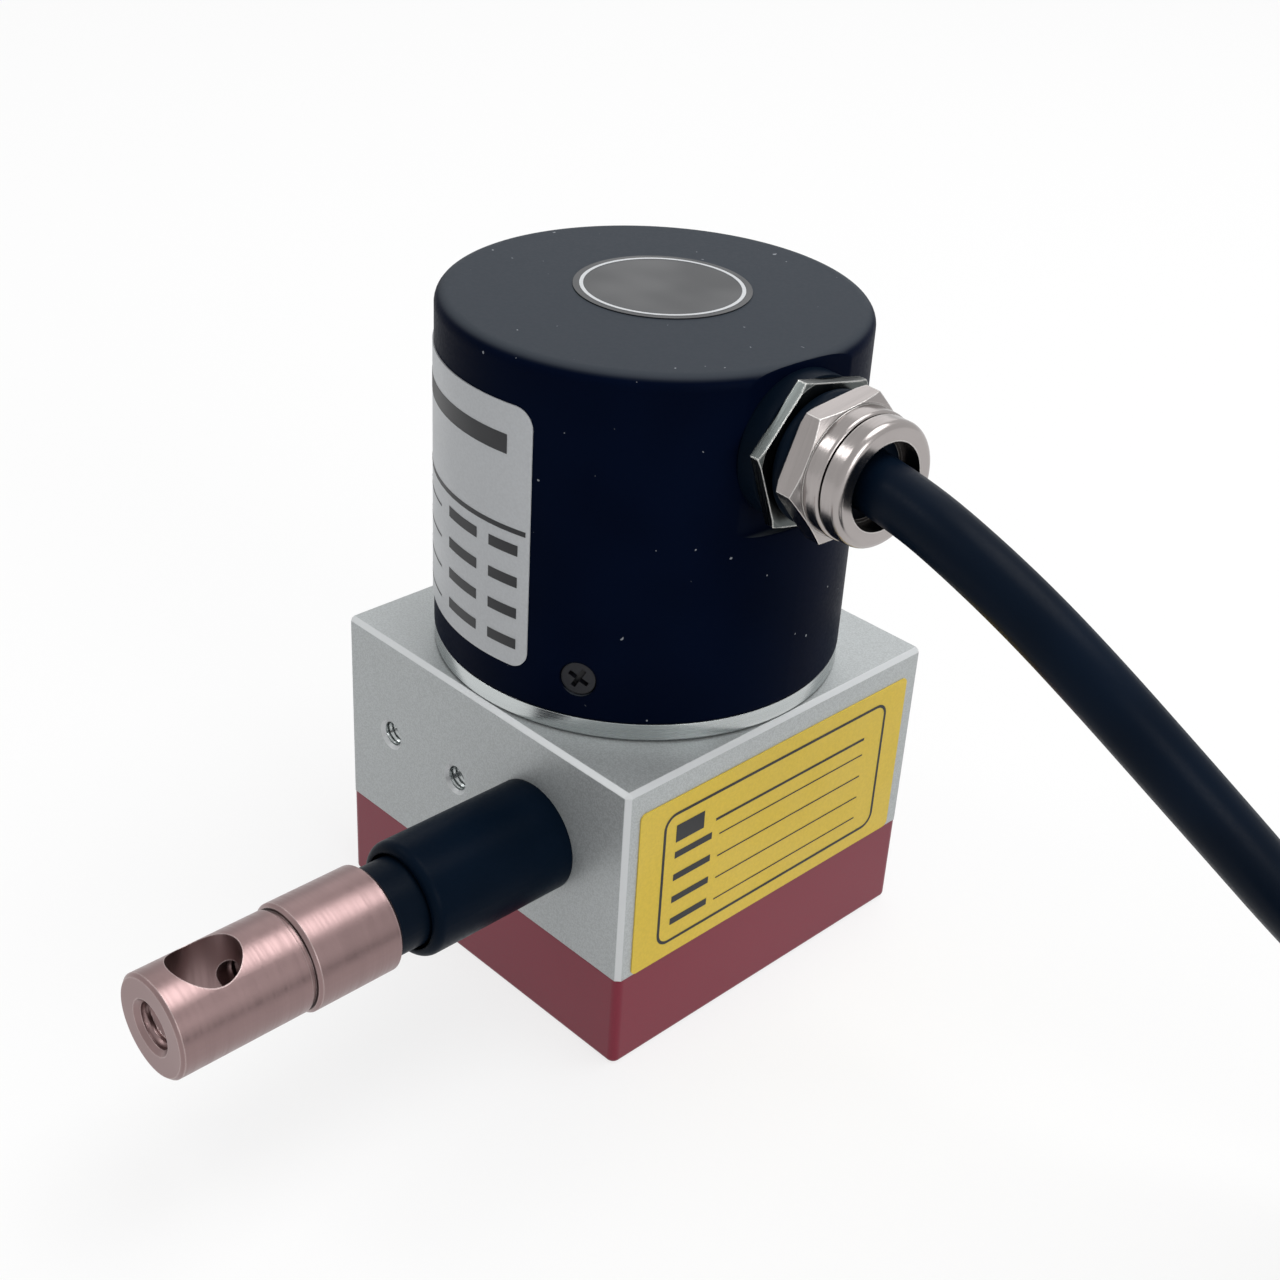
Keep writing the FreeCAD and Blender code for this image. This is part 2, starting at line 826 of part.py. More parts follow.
def cover_screw_tip():
    """The distance from the shaft to the tips of the cover's screws."""
    return cover_radius - cover_screw_sink - cover_screw_head_height - cover_screw_length


def encoder_cover():
    """The black cover: a deep drawn can with a flat for the cable gland."""
    outer = turned(outline([
        (0, cover_low), (cover_radius - cover_foot_chamfer, cover_low),
        (cover_radius, cover_low + cover_foot_chamfer), (cover_radius, cover_high),
        (0, cover_high)]))
    outer = outer.makeFillet(cover_top_round, edges_at_height(outer, cover_high))
    flat_low = gland_height - cover_flat_below_gland
    outside = cover_radius + cover_wall
    inside = cover_inner_radius - cover_wall
    flat = block(cover_flat_distance, outside, -cover_radius, cover_radius,
                 flat_low, cover_high + cover_wall)
    corner = [edge for edge in flat.Edges
              if abs(edge.BoundBox.ZMax - flat_low) < 0.001
              and abs(edge.BoundBox.XMax - cover_flat_distance) < 0.001]
    flat = flat.makeFillet(cover_flat_round, corner)
    flat.rotate(FreeCAD.Vector(0, 0, 0), FreeCAD.Vector(0, 0, 1), gland_angle)
    cover = outer.cut(flat)
    cover = cover.cut(cylinder(cover_inner_radius, cover_low, cover_high - cover_top_thickness))
    hole = cylinder(gland_thread_radius + screw_clearance, inside, outside)
    cover = cover.cut(on_gland(hole))
    head_seat = cover_radius - cover_screw_sink - cover_screw_head_height
    for k in range(cover_screw_count):
        shank = cylinder(cover_screw_shank_radius + screw_clearance, inside, cover_radius)
        recess = cylinder(cover_screw_head_radius + screw_clearance, head_seat, outside)
        cover = cover.cut(on_radius(shank, cover_screw_position(k), cover_screw_height()))
        cover = cover.cut(on_radius(recess, cover_screw_position(k), cover_screw_height()))
    return cover


def cover_screws():
    """The cross recessed screws round the cover's foot."""
    screws = []
    seat = cover_screw_tip() + cover_screw_length
    crest = seat + cover_screw_head_height
    for k in range(cover_screw_count):
        head = cylinder(cover_screw_head_radius, seat, crest)
        shank = cylinder(cover_screw_shank_radius, cover_screw_tip(), seat)
        screw = head.fuse(shank)
        long = cover_screw_cross_length / 2
        wide = cover_screw_cross_width / 2
        deep = crest - cover_screw_cross_depth
        screw = screw.cut(block(-long, long, -wide, wide, deep, crest))
        screw = screw.cut(block(-wide, wide, -long, long, deep, crest))
        screws.append(on_radius(screw, cover_screw_position(k), cover_screw_height()))
    return Part.makeCompound(screws)


def disc_hub():
    """The hub that clamps the code disc to the shaft."""
    bore = shaft_radius + fit_clearance
    hub = turned(outline([
        (bore, hub_low), (hub_radius, hub_low), (hub_radius, disc_low),
        (hub_spigot_radius, disc_low), (hub_spigot_radius, disc_low + hub_spigot_height),
        (bore, disc_low + hub_spigot_height)]))
    hole = cylinder(hub_screw_radius + fit_clearance, 0, disc_radius)
    return hub.cut(on_radius(hole, 0, hub_low + hub_height / 2))


def hub_set_screw():
    """The set screw in the disc's hub."""
    screw = cylinder(hub_screw_radius, shaft_radius + fit_clearance, hub_radius)
    return on_radius(screw, 0, hub_low + hub_height / 2)


def code_disc():
    """The code disc with its ring of windows."""
    disc = ring(disc_radius, hub_spigot_radius + fit_clearance, disc_low, disc_high)
    windows = []
    for k in range(disc_slot_count):
        half = disc_slot_width / 2
        window = block(disc_slot_radius - disc_slot_length / 2,
                       disc_slot_radius + disc_slot_length / 2,
                       -half, half, disc_low, disc_high)
        turn = 360.0 * k / disc_slot_count
        window.rotate(FreeCAD.Vector(0, 0, 0), FreeCAD.Vector(0, 0, 1), turn)
        windows.append(window)
    return disc.cut(Part.makeCompound(windows))


def light_source():
    """The lamp under the disc's windows, on its own foot."""
    half = lamp_foot_width / 2
    foot_high = flange_top + lamp_foot_height
    foot = block(-half, half, disc_slot_radius - half, disc_slot_radius + half,
                 flange_top, foot_high)
    lamp = cylinder(lamp_radius, foot_high, disc_low - lamp_gap, 0, disc_slot_radius)
    return foot.fuse(lamp)


def photo_sensor():
    """The sensor over the disc's windows, hung from the board."""
    half = sensor_width / 2
    return block(-half, half, disc_slot_radius - sensor_depth / 2,
                 disc_slot_radius + sensor_depth / 2, disc_high + sensor_gap, board_low)


def encoder_board():
    """The round circuit board."""
    board = cylinder(board_radius, board_low, board_high)
    for x, y in spacer_places():
        hole = cylinder(spacer_thread_radius + screw_clearance, board_low, board_high, x, y)
        board = board.cut(hole)
    return board


def board_spacers():
    """Three posts that carry the board on the flange."""
    posts = []
    for x, y in spacer_places():
        post = cylinder(spacer_radius, flange_top, board_low, x, y)
        stud = cylinder(spacer_thread_radius, flange_top - spacer_thread_length, flange_top, x, y)
        tapped_low = board_high - board_screw_length - board_thickness - screw_clearance
        tapped = cylinder(spacer_thread_radius + fit_clearance, tapped_low, board_low, x, y)
        posts.append(post.fuse(stud).cut(tapped))
    return Part.makeCompound(posts)


def board_screws():
    """Three pan head screws that hold the board."""
    screws = []
    for x, y in spacer_places():
        head_high = board_high + board_screw_head_height
        head = cylinder(board_screw_head_radius, board_high, head_high, x, y)
        shank_low = board_high - board_screw_length
        shank = cylinder(spacer_thread_radius, shank_low, board_high, x, y)
        screws.append(head.fuse(shank))
    return Part.makeCompound(screws)


def board_chips():
    """Two chips on the board's upper face."""
    half = chip_width / 2
    driver = block(-half, half, chip_y - half, chip_y + half, board_high, board_high + chip_height)
    row = block(-half, half, -chip_y - half / 2, -chip_y + half / 2,
                board_high, board_high + chip_height)
    return Part.makeCompound([driver, row])


def cable_connector():
    """The socket on the board that takes the cable's wires."""
    half_length = connector_length / 2
    half_side = connector_width / 2
    return block(connector_x - half_length, connector_x + half_length,
                 -half_side, half_side, board_high, board_high + connector_height)


def signal_leads():
    """Four wires from the cable's end over to the socket on the board."""
    start = gland_mouth_low - stub_length
    top = board_high + connector_height
    corners = [(-1, 1), (-1, -1), (1, 1), (1, -1)]
    first_x = connector_x - (len(corners) - 1) / 2 * inner_lead_step
    leads = []
    for k, (side, level) in enumerate(corners):
        x = first_x + k * inner_lead_step
        y = side * inner_lead_offset
        z = gland_height + level * inner_lead_offset
        begin_x, begin_y = polar(start, gland_angle)
        begin = FreeCAD.Vector(begin_x, begin_y + y, z)
        bend = FreeCAD.Vector(x, y, z)
        leads.append(bent_rod([begin, bend, FreeCAD.Vector(x, y, top)], inner_lead_radius,
                              inner_lead_bend))
    return Part.makeCompound(leads)


def gland_washer():
    """The rubber washer between the cover's flat and the locknut."""
    hole = gland_thread_radius + fit_clearance
    return on_gland(ring(gland_washer_radius, hole, cover_flat_distance, washer_high))


def gland_locknut():
    """The thin hexagon nut against the washer."""
    nut = hexagon(locknut_across_flats, washer_high, locknut_high, 0, hex_corner_bevel)
    hole = cylinder(gland_thread_radius + fit_clearance, washer_high, locknut_high)
    return on_gland(nut.cut(hole), locknut_roll)


def gland_seal():
    """The rubber ring between the locknut and the gland's hexagon."""
    inner = gland_thread_radius + fit_clearance
    edge = gland_seal_radius - gland_seal_bulge
    start = FreeCAD.Vector(edge, 0, locknut_high)
    crest = FreeCAD.Vector(gland_seal_radius, 0, (locknut_high + seal_high) / 2)
    end = FreeCAD.Vector(edge, 0, seal_high)
    edges = [Part.Arc(start, crest, end).toShape()]
    edges += Part.makePolygon([end, FreeCAD.Vector(inner, 0, seal_high),
                               FreeCAD.Vector(inner, 0, locknut_high), start]).Edges
    return on_gland(turned(edges))


def gland_body():
    """The gland: threaded stem, hexagon, round band, groove and front collar."""
    stem = cylinder(gland_thread_radius, gland_inner_end, seal_high)
    bar = hexagon(gland_hex_across_flats, seal_high, gland_hex_high,
                  hex_corner_bevel, 2 * hex_corner_bevel)
    band = cylinder(gland_band_radius, gland_hex_high, band_high)
    band = band.makeFillet(gland_band_round, edges_at_height(band, band_high)[:1])
    groove = cylinder(gland_groove_radius, band_high, collar_low)
    collar = cylinder(gland_collar_radius, collar_low, gland_front)
    collar = collar.makeFillet(gland_collar_round, edges_at_height(collar, gland_front)[:1])
    body = stem.fuse(bar).fuse(band).fuse(groove).fuse(collar)
    body = body.cut(cylinder(gland_bore_radius, gland_inner_end, gland_front))
    body = body.cut(cylinder(gland_mouth_radius, gland_mouth_low, gland_front))
    return on_gland(body, gland_hex_roll)


def gland_insert():
    """The rubber sleeve that grips the cable inside the gland."""
    outer = gland_bore_radius - fit_clearance
    inner = cable_radius + cable_gland_gap
    return on_gland(ring(outer, inner, gland_mouth_low - gland_insert_length, gland_mouth_low))


def cable_stub():
    """The cable's end inside the gland."""
    return on_gland(cylinder(cable_radius, gland_mouth_low - stub_length, gland_mouth_low))


def outlet_tube():
    """The black outlet: a spigot in the block and a tube with a rounded mouth."""
    body = cylinder(outlet_radius, 0, outlet_length)
    body = body.makeFillet(outlet_mouth_round, edges_at_height(body, outlet_length))
    body = body.fuse(cylinder(outlet_spigot_radius, -outlet_spigot_length, 0))
    body = body.cut(cylinder(outlet_bore_radius, -outlet_spigot_length, outlet_length))
    body = body.cut(cylinder(outlet_mouth_radius, buffer_low, outlet_length))
    return on_outlet(body)


def outlet_buffer():
    """The rubber buffer in the tube's mouth that the wire end rests on."""
    foot_radius = outlet_mouth_radius - fit_clearance
    foot = cylinder(foot_radius, buffer_low, buffer_low + buffer_foot_length)
    post = cylinder(buffer_radius, buffer_low, wire_end_low)
    post = post.makeFillet(buffer_round, edges_at_height(post, wire_end_low))
    buffer = post.fuse(foot)
    return on_outlet(buffer.cut(cylinder(buffer_bore_radius, buffer_low, wire_end_low)))


def wire_guide():
    """The eyelet that the wire runs through, flared at both ends."""
    low = -outlet_spigot_length - guide_length
    high = -outlet_spigot_length
    middle = (low + high) / 2
    start = FreeCAD.Vector(guide_mouth_radius, 0, low)
    throat = FreeCAD.Vector(guide_throat_radius, 0, middle)
    end = FreeCAD.Vector(guide_mouth_radius, 0, high)
    edges = [Part.Arc(start, throat, end).toShape()]
    edges += Part.makePolygon([end, FreeCAD.Vector(guide_radius, 0, high),
                               FreeCAD.Vector(guide_radius, 0, low), start]).Edges
    return on_outlet(turned(edges))


def wire_end():
    """The rose gold end piece: two diameters, a cross eye and an axial thread."""
    shoulder = wire_end_low + wire_end_rear_length
    groove_high = shoulder + wire_end_groove_length
    edge = wire_end_edge
    body = turned(outline([
        (0, wire_end_low), (wire_end_rear_radius - edge, wire_end_low),
        (wire_end_rear_radius, wire_end_low + edge), (wire_end_rear_radius, shoulder - edge),
        (wire_end_rear_radius - edge, shoulder), (wire_end_groove_radius, shoulder),
        (wire_end_groove_radius, groove_high), (wire_end_front_radius, groove_high),
        (wire_end_front_radius, wire_end_high - edge),
        (wire_end_front_radius - edge, wire_end_high), (0, wire_end_high)]))
    ferrule_bore = ferrule_radius + fit_clearance
    ferrule_end = wire_end_low + ferrule_inset + ferrule_length
    body = body.cut(cylinder(ferrule_bore, wire_end_low, ferrule_end))
    thread = turned(outline([
        (0, wire_end_high), (end_thread_radius + end_thread_bevel, wire_end_high),
        (end_thread_radius, wire_end_high - end_thread_bevel),
        (end_thread_radius, wire_end_high - end_thread_depth),
        (0, wire_end_high - end_thread_depth - end_thread_radius / 2)]))
    body = on_outlet(body.cut(thread))
    eye_y = -half_width - wire_end_high + eye_from_front
    eye = cylinder(eye_radius, outlet_height - half_width, outlet_height + half_width,
                   turn_radius, eye_y)
    return body.cut(eye)


def wire_ferrule():
    """The crimped sleeve that holds the wire in its end piece."""
    low = wire_end_low + ferrule_inset
    return on_outlet(ring(ferrule_radius, wire_radius + fit_clearance, low, low + ferrule_length))


def measuring_wire():
    """The straight wire from the drum's tangent point to the ferrule."""
    peel = math.sqrt((turn_radius + wire_diameter + wire_start_gap) ** 2 - turn_radius ** 2)
    start = peel - half_width
    end = wire_end_low + ferrule_inset + ferrule_length - wire_diameter
    return on_outlet(cylinder(wire_radius, start, end))


def edges_through(shape, angle):
    """The straight edges of a label's thickness, level and at an angle about the shaft."""
    x, y = polar(1.0, angle)
    found = []
    for edge in shape.Edges:
        way = edge.Vertexes[-1].Point - edge.Vertexes[0].Point
        across = abs(way.x * y - way.y * x)
        if abs(way.Length - label_thickness) < 0.001 and across < 0.001 and abs(way.z) < 0.001:
            found.append(edge)
    return found


def side_label():
    """The yellow label on the block's side."""
    label = block(half_width, half_width + label_thickness, side_label_low_y,
                  side_label_high_y, side_label_low_z, side_label_high_z)
    return label.makeFillet(side_label_corner, edges_through(label, 0))


def cover_label():
    """The white label round the cover."""
    label = ring(cover_radius + label_thickness, cover_radius,
                 cover_label_low_z, cover_label_high_z)
    start = cover_label_edge_angle - cover_label_arc
    reach = 3 * cover_radius
    corners = [FreeCAD.Vector(0, 0, cover_label_low_z)]
    for share in (0.0, 0.5, 1.0):
        x, y = polar(reach, start + share * cover_label_arc)
        corners.append(FreeCAD.Vector(x, y, cover_label_low_z))
    corners.append(corners[0])
    height = FreeCAD.Vector(0, 0, cover_label_high_z - cover_label_low_z)
    wedge = Part.Face(Part.makePolygon(corners)).extrude(height)
    label = label.common(wedge)
    ends = edges_through(label, start) + edges_through(label, cover_label_edge_angle)
    return label.makeFillet(cover_label_corner, ends)


def top_label():
    """The round sticker on the cover's top."""
    return cylinder(top_label_radius, cover_high, cover_high + label_thickness,
                    top_label_x, top_label_y)


def bend_radius(before, corner, after):
    """The radius of the arc at a corner, as large as its two runs allow."""
    first = before - corner
    second = after - corner
    turn = math.pi - first.getAngle(second)
    return bend_share * min(first.Length, second.Length) / math.tan(turn / 2)


def rounded_path(points, radius=None):
    """Straight runs through the points, joined by tangent arcs."""
    edges = []
    place = points[0]
    for before, corner, after in zip(points, points[1:], points[2:]):
        back = (before - corner).normalize()
        ahead = (after - corner).normalize()
        opening = back.getAngle(ahead)
        bend = radius or bend_radius(before, corner, after)
        tangent = bend / math.tan(opening / 2)
        start = corner + back * tangent
        end = corner + ahead * tangent
        middle_way = (back + ahead).normalize()
        middle = corner + middle_way * (bend / math.sin(opening / 2) - bend)
        edges.append(Part.makeLine(place, start))
        edges.append(Part.Arc(start, middle, end).toShape())
        place = end
    edges.append(Part.makeLine(place, points[-1]))
    return Part.Wire(edges)


def bent_rod(points, rod_radius, radius=None):
    """A round rod swept along a rounded path."""
    path = rounded_path(points, radius)
    start = points[0]
    section = Part.Wire(Part.makeCircle(rod_radius, start, points[1] - start))
    return path.makePipeShell([section], True, False)


def vectors(points):
    """Turns coordinate triples into vectors."""
    return [FreeCAD.Vector(*point) for point in points]


def cable_tube():
    """The cable from the gland's mouth down to the coil.

    The route's top moves with the gland, and its end stays on the coil.
    """
    places = vectors(cable_route)
    top = places[0]
    end = places[-1]
    x, y = polar(gland_mouth_low, gland_angle)
    shift = FreeCAD.Vector(x, y, gland_height) - top
    points = [place + shift * ((place.z - end.z) / (top.z - end.z)) for place in places]
    return bent_rod(points, cable_radius)


def coil_reach(turn):
    """The radius of one of the coil's lower turns."""
    return coil_middle_radius + (turn - (coil_lower_turns - 1) / 2) * coil_pitch


def cable_coil():
    """The outer shape of the coil: a low ring with a narrower second layer."""
    layer = coil_pitch * math.sqrt(3) / 2
    low_inner = coil_reach(0) - cable_radius
    low_outer = coil_reach(coil_lower_turns - 1) + cable_radius
    edge = 2 * cable_radius * coil_edge_share
    step = coil_pitch / 2
    top = 2 * cable_radius + layer
    middle = 2 * cable_radius
    profile = outline([
        (low_inner + edge, 0), (low_outer - edge, 0), (low_outer, edge),
        (low_outer, middle - edge), (low_outer - edge, middle),
        (low_outer - step, top - edge), (low_outer - step - edge, top),
        (low_inner + step + edge, top), (low_inner + step, top - edge),
        (low_inner + edge, middle), (low_inner, middle - edge), (low_inner, edge)])
    coil = turned(profile)
    coil.translate(FreeCAD.Vector(coil_x, coil_y, 0))
    return coil


def cable_tail():
    """The cable's last stretch, from the coil to where its jacket ends."""
    return bent_rod(vectors(tail_route), cable_radius)


def cable_leads():
    """The four insulated wires that come out of the jacket's end."""
    points = vectors(tail_route)
    end = points[-1]
    ahead = (end - points[-2]).normalize()
    across = FreeCAD.Vector(-ahead.y, ahead.x, 0)
    leads = []
    for k in range(tail_lead_count):
        side = k - (tail_lead_count - 1) / 2
        start = end + across * side * tail_lead_start_spacing
        bend = end + ahead * tail_lead_length * tail_lead_bend_share
        bend = bend + across * side * tail_lead_bend_spacing
        tip = end + ahead * tail_lead_length + across * side * tail_lead_end_spacing
        start.z = cable_radius
        bend.z = tail_lead_bend_height
        tip.z = tail_lead_radius
        leads.append(bent_rod([start, bend, tip], tail_lead_radius))
    return Part.makeCompound(leads)


PIECES = [
    spring_housing, drum_housing, housing_screws, spring_plate, power_spring, spring_arbor,
    shaft, shaft_clip, wire_drum, drum_set_screw, wound_wire,
    bearing_outer_rings, bearing_inner_rings, bearing_balls, bearing_cages, bearing_shields,
    flange_gasket, encoder_flange, flange_screws, encoder_cover, cover_screws,
    disc_hub, hub_set_screw, code_disc, light_source, photo_sensor,
    encoder_board, board_spacers, board_screws, board_chips, cable_connector, signal_leads,
    gland_washer, gland_locknut, gland_seal, gland_body, gland_insert, cable_stub,
    outlet_tube, outlet_buffer, wire_guide, wire_end, wire_ferrule, measuring_wire,
    side_label, cover_label, top_label,
    cable_tube, cable_coil, cable_tail, cable_leads,
]


def report_bends(name, points):
    """Prints the radius of each bend of a route."""
    places = vectors(points)
    radii = [bend_radius(*three) for three in zip(places, places[1:], places[2:])]
    print(name, "bend radii", [round(radius, 1) for radius in radii])


def build():
    """Writes every piece to its own file."""
    os.makedirs("parts", exist_ok=True)
    for piece in PIECES:
        shape = piece()
        shape.exportStep("parts/" + piece.__name__ + ".step")
        print(piece.__name__, len(shape.Solids), shape.isValid(), round(shape.Volume, 2))
    report_bends("cable", cable_route)
    report_bends("tail", tail_route)


build()
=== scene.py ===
"""Looks of a string potentiometer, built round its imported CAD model.

A square housing in two tones carries a round encoder, a wire outlet with its
pull end, and a cable that leaves through a gland. Sizes are in millimetres
inside the classes, and become metres when a mesh is made.
"""
import logging
import math
from dataclasses import dataclass, field
from enum import Enum
from typing import Callable, Sequence

import bmesh
import bpy
import numpy as np
from mathutils import Matrix, Vector


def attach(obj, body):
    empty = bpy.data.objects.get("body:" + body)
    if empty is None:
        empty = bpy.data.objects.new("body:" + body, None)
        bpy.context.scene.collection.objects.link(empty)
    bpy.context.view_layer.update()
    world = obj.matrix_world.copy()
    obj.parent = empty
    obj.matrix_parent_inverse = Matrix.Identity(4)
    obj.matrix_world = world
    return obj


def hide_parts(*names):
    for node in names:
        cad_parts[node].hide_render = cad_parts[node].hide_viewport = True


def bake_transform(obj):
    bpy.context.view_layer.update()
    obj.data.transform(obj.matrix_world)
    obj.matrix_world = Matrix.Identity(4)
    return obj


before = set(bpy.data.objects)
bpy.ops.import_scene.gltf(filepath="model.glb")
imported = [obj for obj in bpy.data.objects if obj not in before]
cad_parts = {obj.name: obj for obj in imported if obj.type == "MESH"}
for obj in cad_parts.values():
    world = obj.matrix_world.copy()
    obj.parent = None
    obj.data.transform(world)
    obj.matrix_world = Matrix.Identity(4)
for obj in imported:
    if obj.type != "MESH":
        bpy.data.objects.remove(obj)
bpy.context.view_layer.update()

MM = 0.001
LOG = logging.getLogger("string_potentiometer")

Colour = tuple[float, float, float]
Point = tuple[float, float, float]


class Body(Enum):
    """The rigid bodies that new pieces ride on."""

    HOUSING = "housing"
    PULL_END = "pull_end"


class NodeTree:
    """Short calls for the nodes of one material or of the world."""

    def __init__(self, owner: bpy.types.Material | bpy.types.World,
                 output: str = "ShaderNodeOutputMaterial") -> None:
        """Starts with an output node alone.

        Args:
            owner: The material or world.
            output: The output node's type name.
        """
        owner.use_nodes = True
        self.owner = owner
        self.tree = owner.node_tree
        self.tree.nodes.clear()
        self.output = self.add(output)

    def add(self, kind: str, **settings: object) -> bpy.types.Node:
        """Adds a node.

        Args:
            kind: The node's type name.
            settings: Values for the node's own properties.

        Returns:
            The new node.
        """
        node = self.tree.nodes.new(kind)
        for name, value in settings.items():
            setattr(node, name, value)
        return node

    def feed(self, socket: bpy.types.NodeSocket, value: object) -> None:
        """Links an output to a socket, or sets the socket's own value.

        Args:
            socket: The input socket.
            value: An output socket, a number or a colour.
        """
        if isinstance(value, bpy.types.NodeSocket):
            self.tree.links.new(value, socket)
        elif isinstance(value, tuple) and len(value) == 3 and socket.type == "RGBA":
            socket.default_value = (*value, 1.0)
        else:
            socket.default_value = value

    def place(self, stretch: Point = (1, 1, 1)) -> object:
        """Object coordinates, scaled.

        Args:
            stretch: The scale along each axis.

        Returns:
            The mapped vector's socket.
        """
        coordinates = self.add("ShaderNodeTexCoord").outputs["Object"]
        mapping = self.add("ShaderNodeMapping")
        self.feed(mapping.inputs["Vector"], coordinates)
        mapping.inputs["Scale"].default_value = stretch
        return mapping.outputs["Vector"]

    def noise(self, size: float, detail: float = 2.0, stretch: Point = (1, 1, 1)) -> object:
        """Soft noise.

        Args:
            size: The size of a grain in millimetres.
            detail: How many finer layers it has.
            stretch: The scale along each axis.

        Returns:
            The noise value's socket, from 0 to 1.
        """
        noise = self.add("ShaderNodeTexNoise")
        self.feed(noise.inputs["Vector"], self.place(stretch))
        noise.inputs["Scale"].default_value = 1.0 / (size * MM)
        noise.inputs["Detail"].default_value = detail
        return noise.outputs["Fac"]

    def calculate(self, operation: str, first: object, second: object = 0.0) -> object:
        """One sum.

        Args:
            operation: The Math node's operation.
            first: The first value or socket.
            second: The second value or socket.

        Returns:
            The result's socket.
        """
        node = self.add("ShaderNodeMath", operation=operation)
        self.feed(node.inputs[0], first)
        self.feed(node.inputs[1], second)
        return node.outputs[0]

    def spread(self, value: object, low: float, high: float, start: float, end: float) -> object:
        """Maps a value from one range to another.

        Args:
            value: The value's socket.
            low: The value that gives start.
            high: The value that gives end.
            start: The result at low.
            end: The result at high.

        Returns:
            The result's socket, kept between start and end.
        """
        node = self.add("ShaderNodeMapRange", interpolation_type="SMOOTHSTEP")
        self.feed(node.inputs["Value"], value)
        for name, number in zip(("From Min", "From Max", "To Min", "To Max"),
                                (low, high, start, end)):
            node.inputs[name].default_value = number
        return node.outputs["Result"]

    def blend(self, share: object, first: object, second: object) -> object:
        """Mixes two colours.

        Args:
            share: The second colour's share.
            first: The first colour or socket.
            second: The second colour or socket.

        Returns:
            The mixed colour's socket.
        """
        node = self.add("ShaderNodeMix", data_type="RGBA")
        self.feed(node.inputs[0], share)
        self.feed(node.inputs[6], first)
        self.feed(node.inputs[7], second)
        return node.outputs[2]

    def bump(self, height: object, depth: float, below: object = None) -> object:
        """Turns a height into a surface normal.

        Args:
            height: The height's socket, from 0 to 1.
            depth: The height of 1, in millimetres.
            below: The normal that this one is laid over.

        Returns:
            The normal's socket.
        """
        node = self.add("ShaderNodeBump")
        node.inputs["Distance"].default_value = depth * MM
        self.feed(node.inputs["Height"], height)
        if below is not None:
            self.feed(node.inputs["Normal"], below)
        return node.outputs["Normal"]

    def edge(self, radius: float) -> object:
        """Rounds the look of sharp edges.

        Args:
            radius: The rounding's radius in millimetres.

        Returns:
            The rounded normal's socket.
        """
        node = self.add("ShaderNodeBevel", samples=4)
        node.inputs["Radius"].default_value = radius * MM
        return node.outputs["Normal"]

    def turned_edges(self, radius: float) -> object:
        """Finds sharp edges, where the rounded normal leaves the flat one.

        Args:
            radius: How far from the edge it reaches, in millimetres.

        Returns:
            The socket of a value from 0 on a flat to 1 at an edge.
        """
        dot = self.add("ShaderNodeVectorMath", operation="DOT_PRODUCT")
        self.feed(dot.inputs[0], self.edge(radius))
        self.feed(dot.inputs[1], self.add("ShaderNodeNewGeometry").outputs["Normal"])
        return self.spread(dot.outputs["Value"], 0.90, 0.99, 1.0, 0.0)

    def slanted(self, low: float, high: float) -> object:
        """Finds faces that lie square to no axis, such as chamfers.

        Args:
            low: The largest part of the normal at which a face counts fully.
            high: The largest part of the normal at which it no longer counts.

        Returns:
            The socket of a value from 0 on a square face to 1 on a slanted one.
        """
        size = self.add("ShaderNodeVectorMath", operation="ABSOLUTE")
        self.feed(size.inputs[0], self.add("ShaderNodeTexCoord").outputs["Normal"])
        split = self.add("ShaderNodeSeparateXYZ")
        self.feed(split.inputs[0], size.outputs[0])
        widest = self.calculate("MAXIMUM", split.outputs[0], self.calculate(
            "MAXIMUM", split.outputs[1], split.outputs[2]))
        return self.spread(widest, low, high, 1.0, 0.0)

    def upward(self, low: float, high: float) -> object:
        """Finds faces that look up.

        Args:
            low: The upward part of the normal at which it starts.
            high: The upward part of the normal at which it is full.

        Returns:
            The socket of a value from 0 to 1 on faces that look up.
        """
        split = self.add("ShaderNodeSeparateXYZ")
        self.feed(split.inputs[0], self.add("ShaderNodeTexCoord").outputs["Normal"])
        return self.spread(split.outputs[2], low, high, 0.0, 1.0)

    def recess(self, reach: float) -> object:
        """Finds holes and corners that little light reaches.

        Args:
            reach: How far the walls are looked for, in millimetres.

        Returns:
            The socket of a value from 0 in the open to 1 deep in a hole.
        """
        node = self.add("ShaderNodeAmbientOcclusion", samples=8)
        node.inputs["Distance"].default_value = reach * MM
        return self.spread(node.outputs["AO"], 0.25, 0.75, 1.0, 0.0)

    def seen_or_mirrored(self) -> object:
        """The socket that is 1 where the camera, gloss or clear plastic shows the surface."""
        paths = self.add("ShaderNodeLightPath").outputs
        mirrored = self.calculate("MAXIMUM", paths["Is Glossy Ray"],
                                  paths["Is Transmission Ray"])
        return self.calculate("MAXIMUM", paths["Is Camera Ray"], mirrored)

    def shade(self, **sockets: object) -> bpy.types.Material:
        """Adds the surface shader and ends the material.

        Args:
            sockets: Values for the shader's sockets, with _ for a space.

        Returns:
            The material.
        """
        shader = self.add("ShaderNodeBsdfPrincipled")
        for name, value in sockets.items():
            self.feed(shader.inputs[name.replace("_", " ")], value)
        self.feed(self.output.inputs["Surface"], shader.outputs["BSDF"])
        return self.owner


def start_material(name: str) -> NodeTree:
    """Starts an empty material of a name."""
    return NodeTree(bpy.data.materials.new(name))


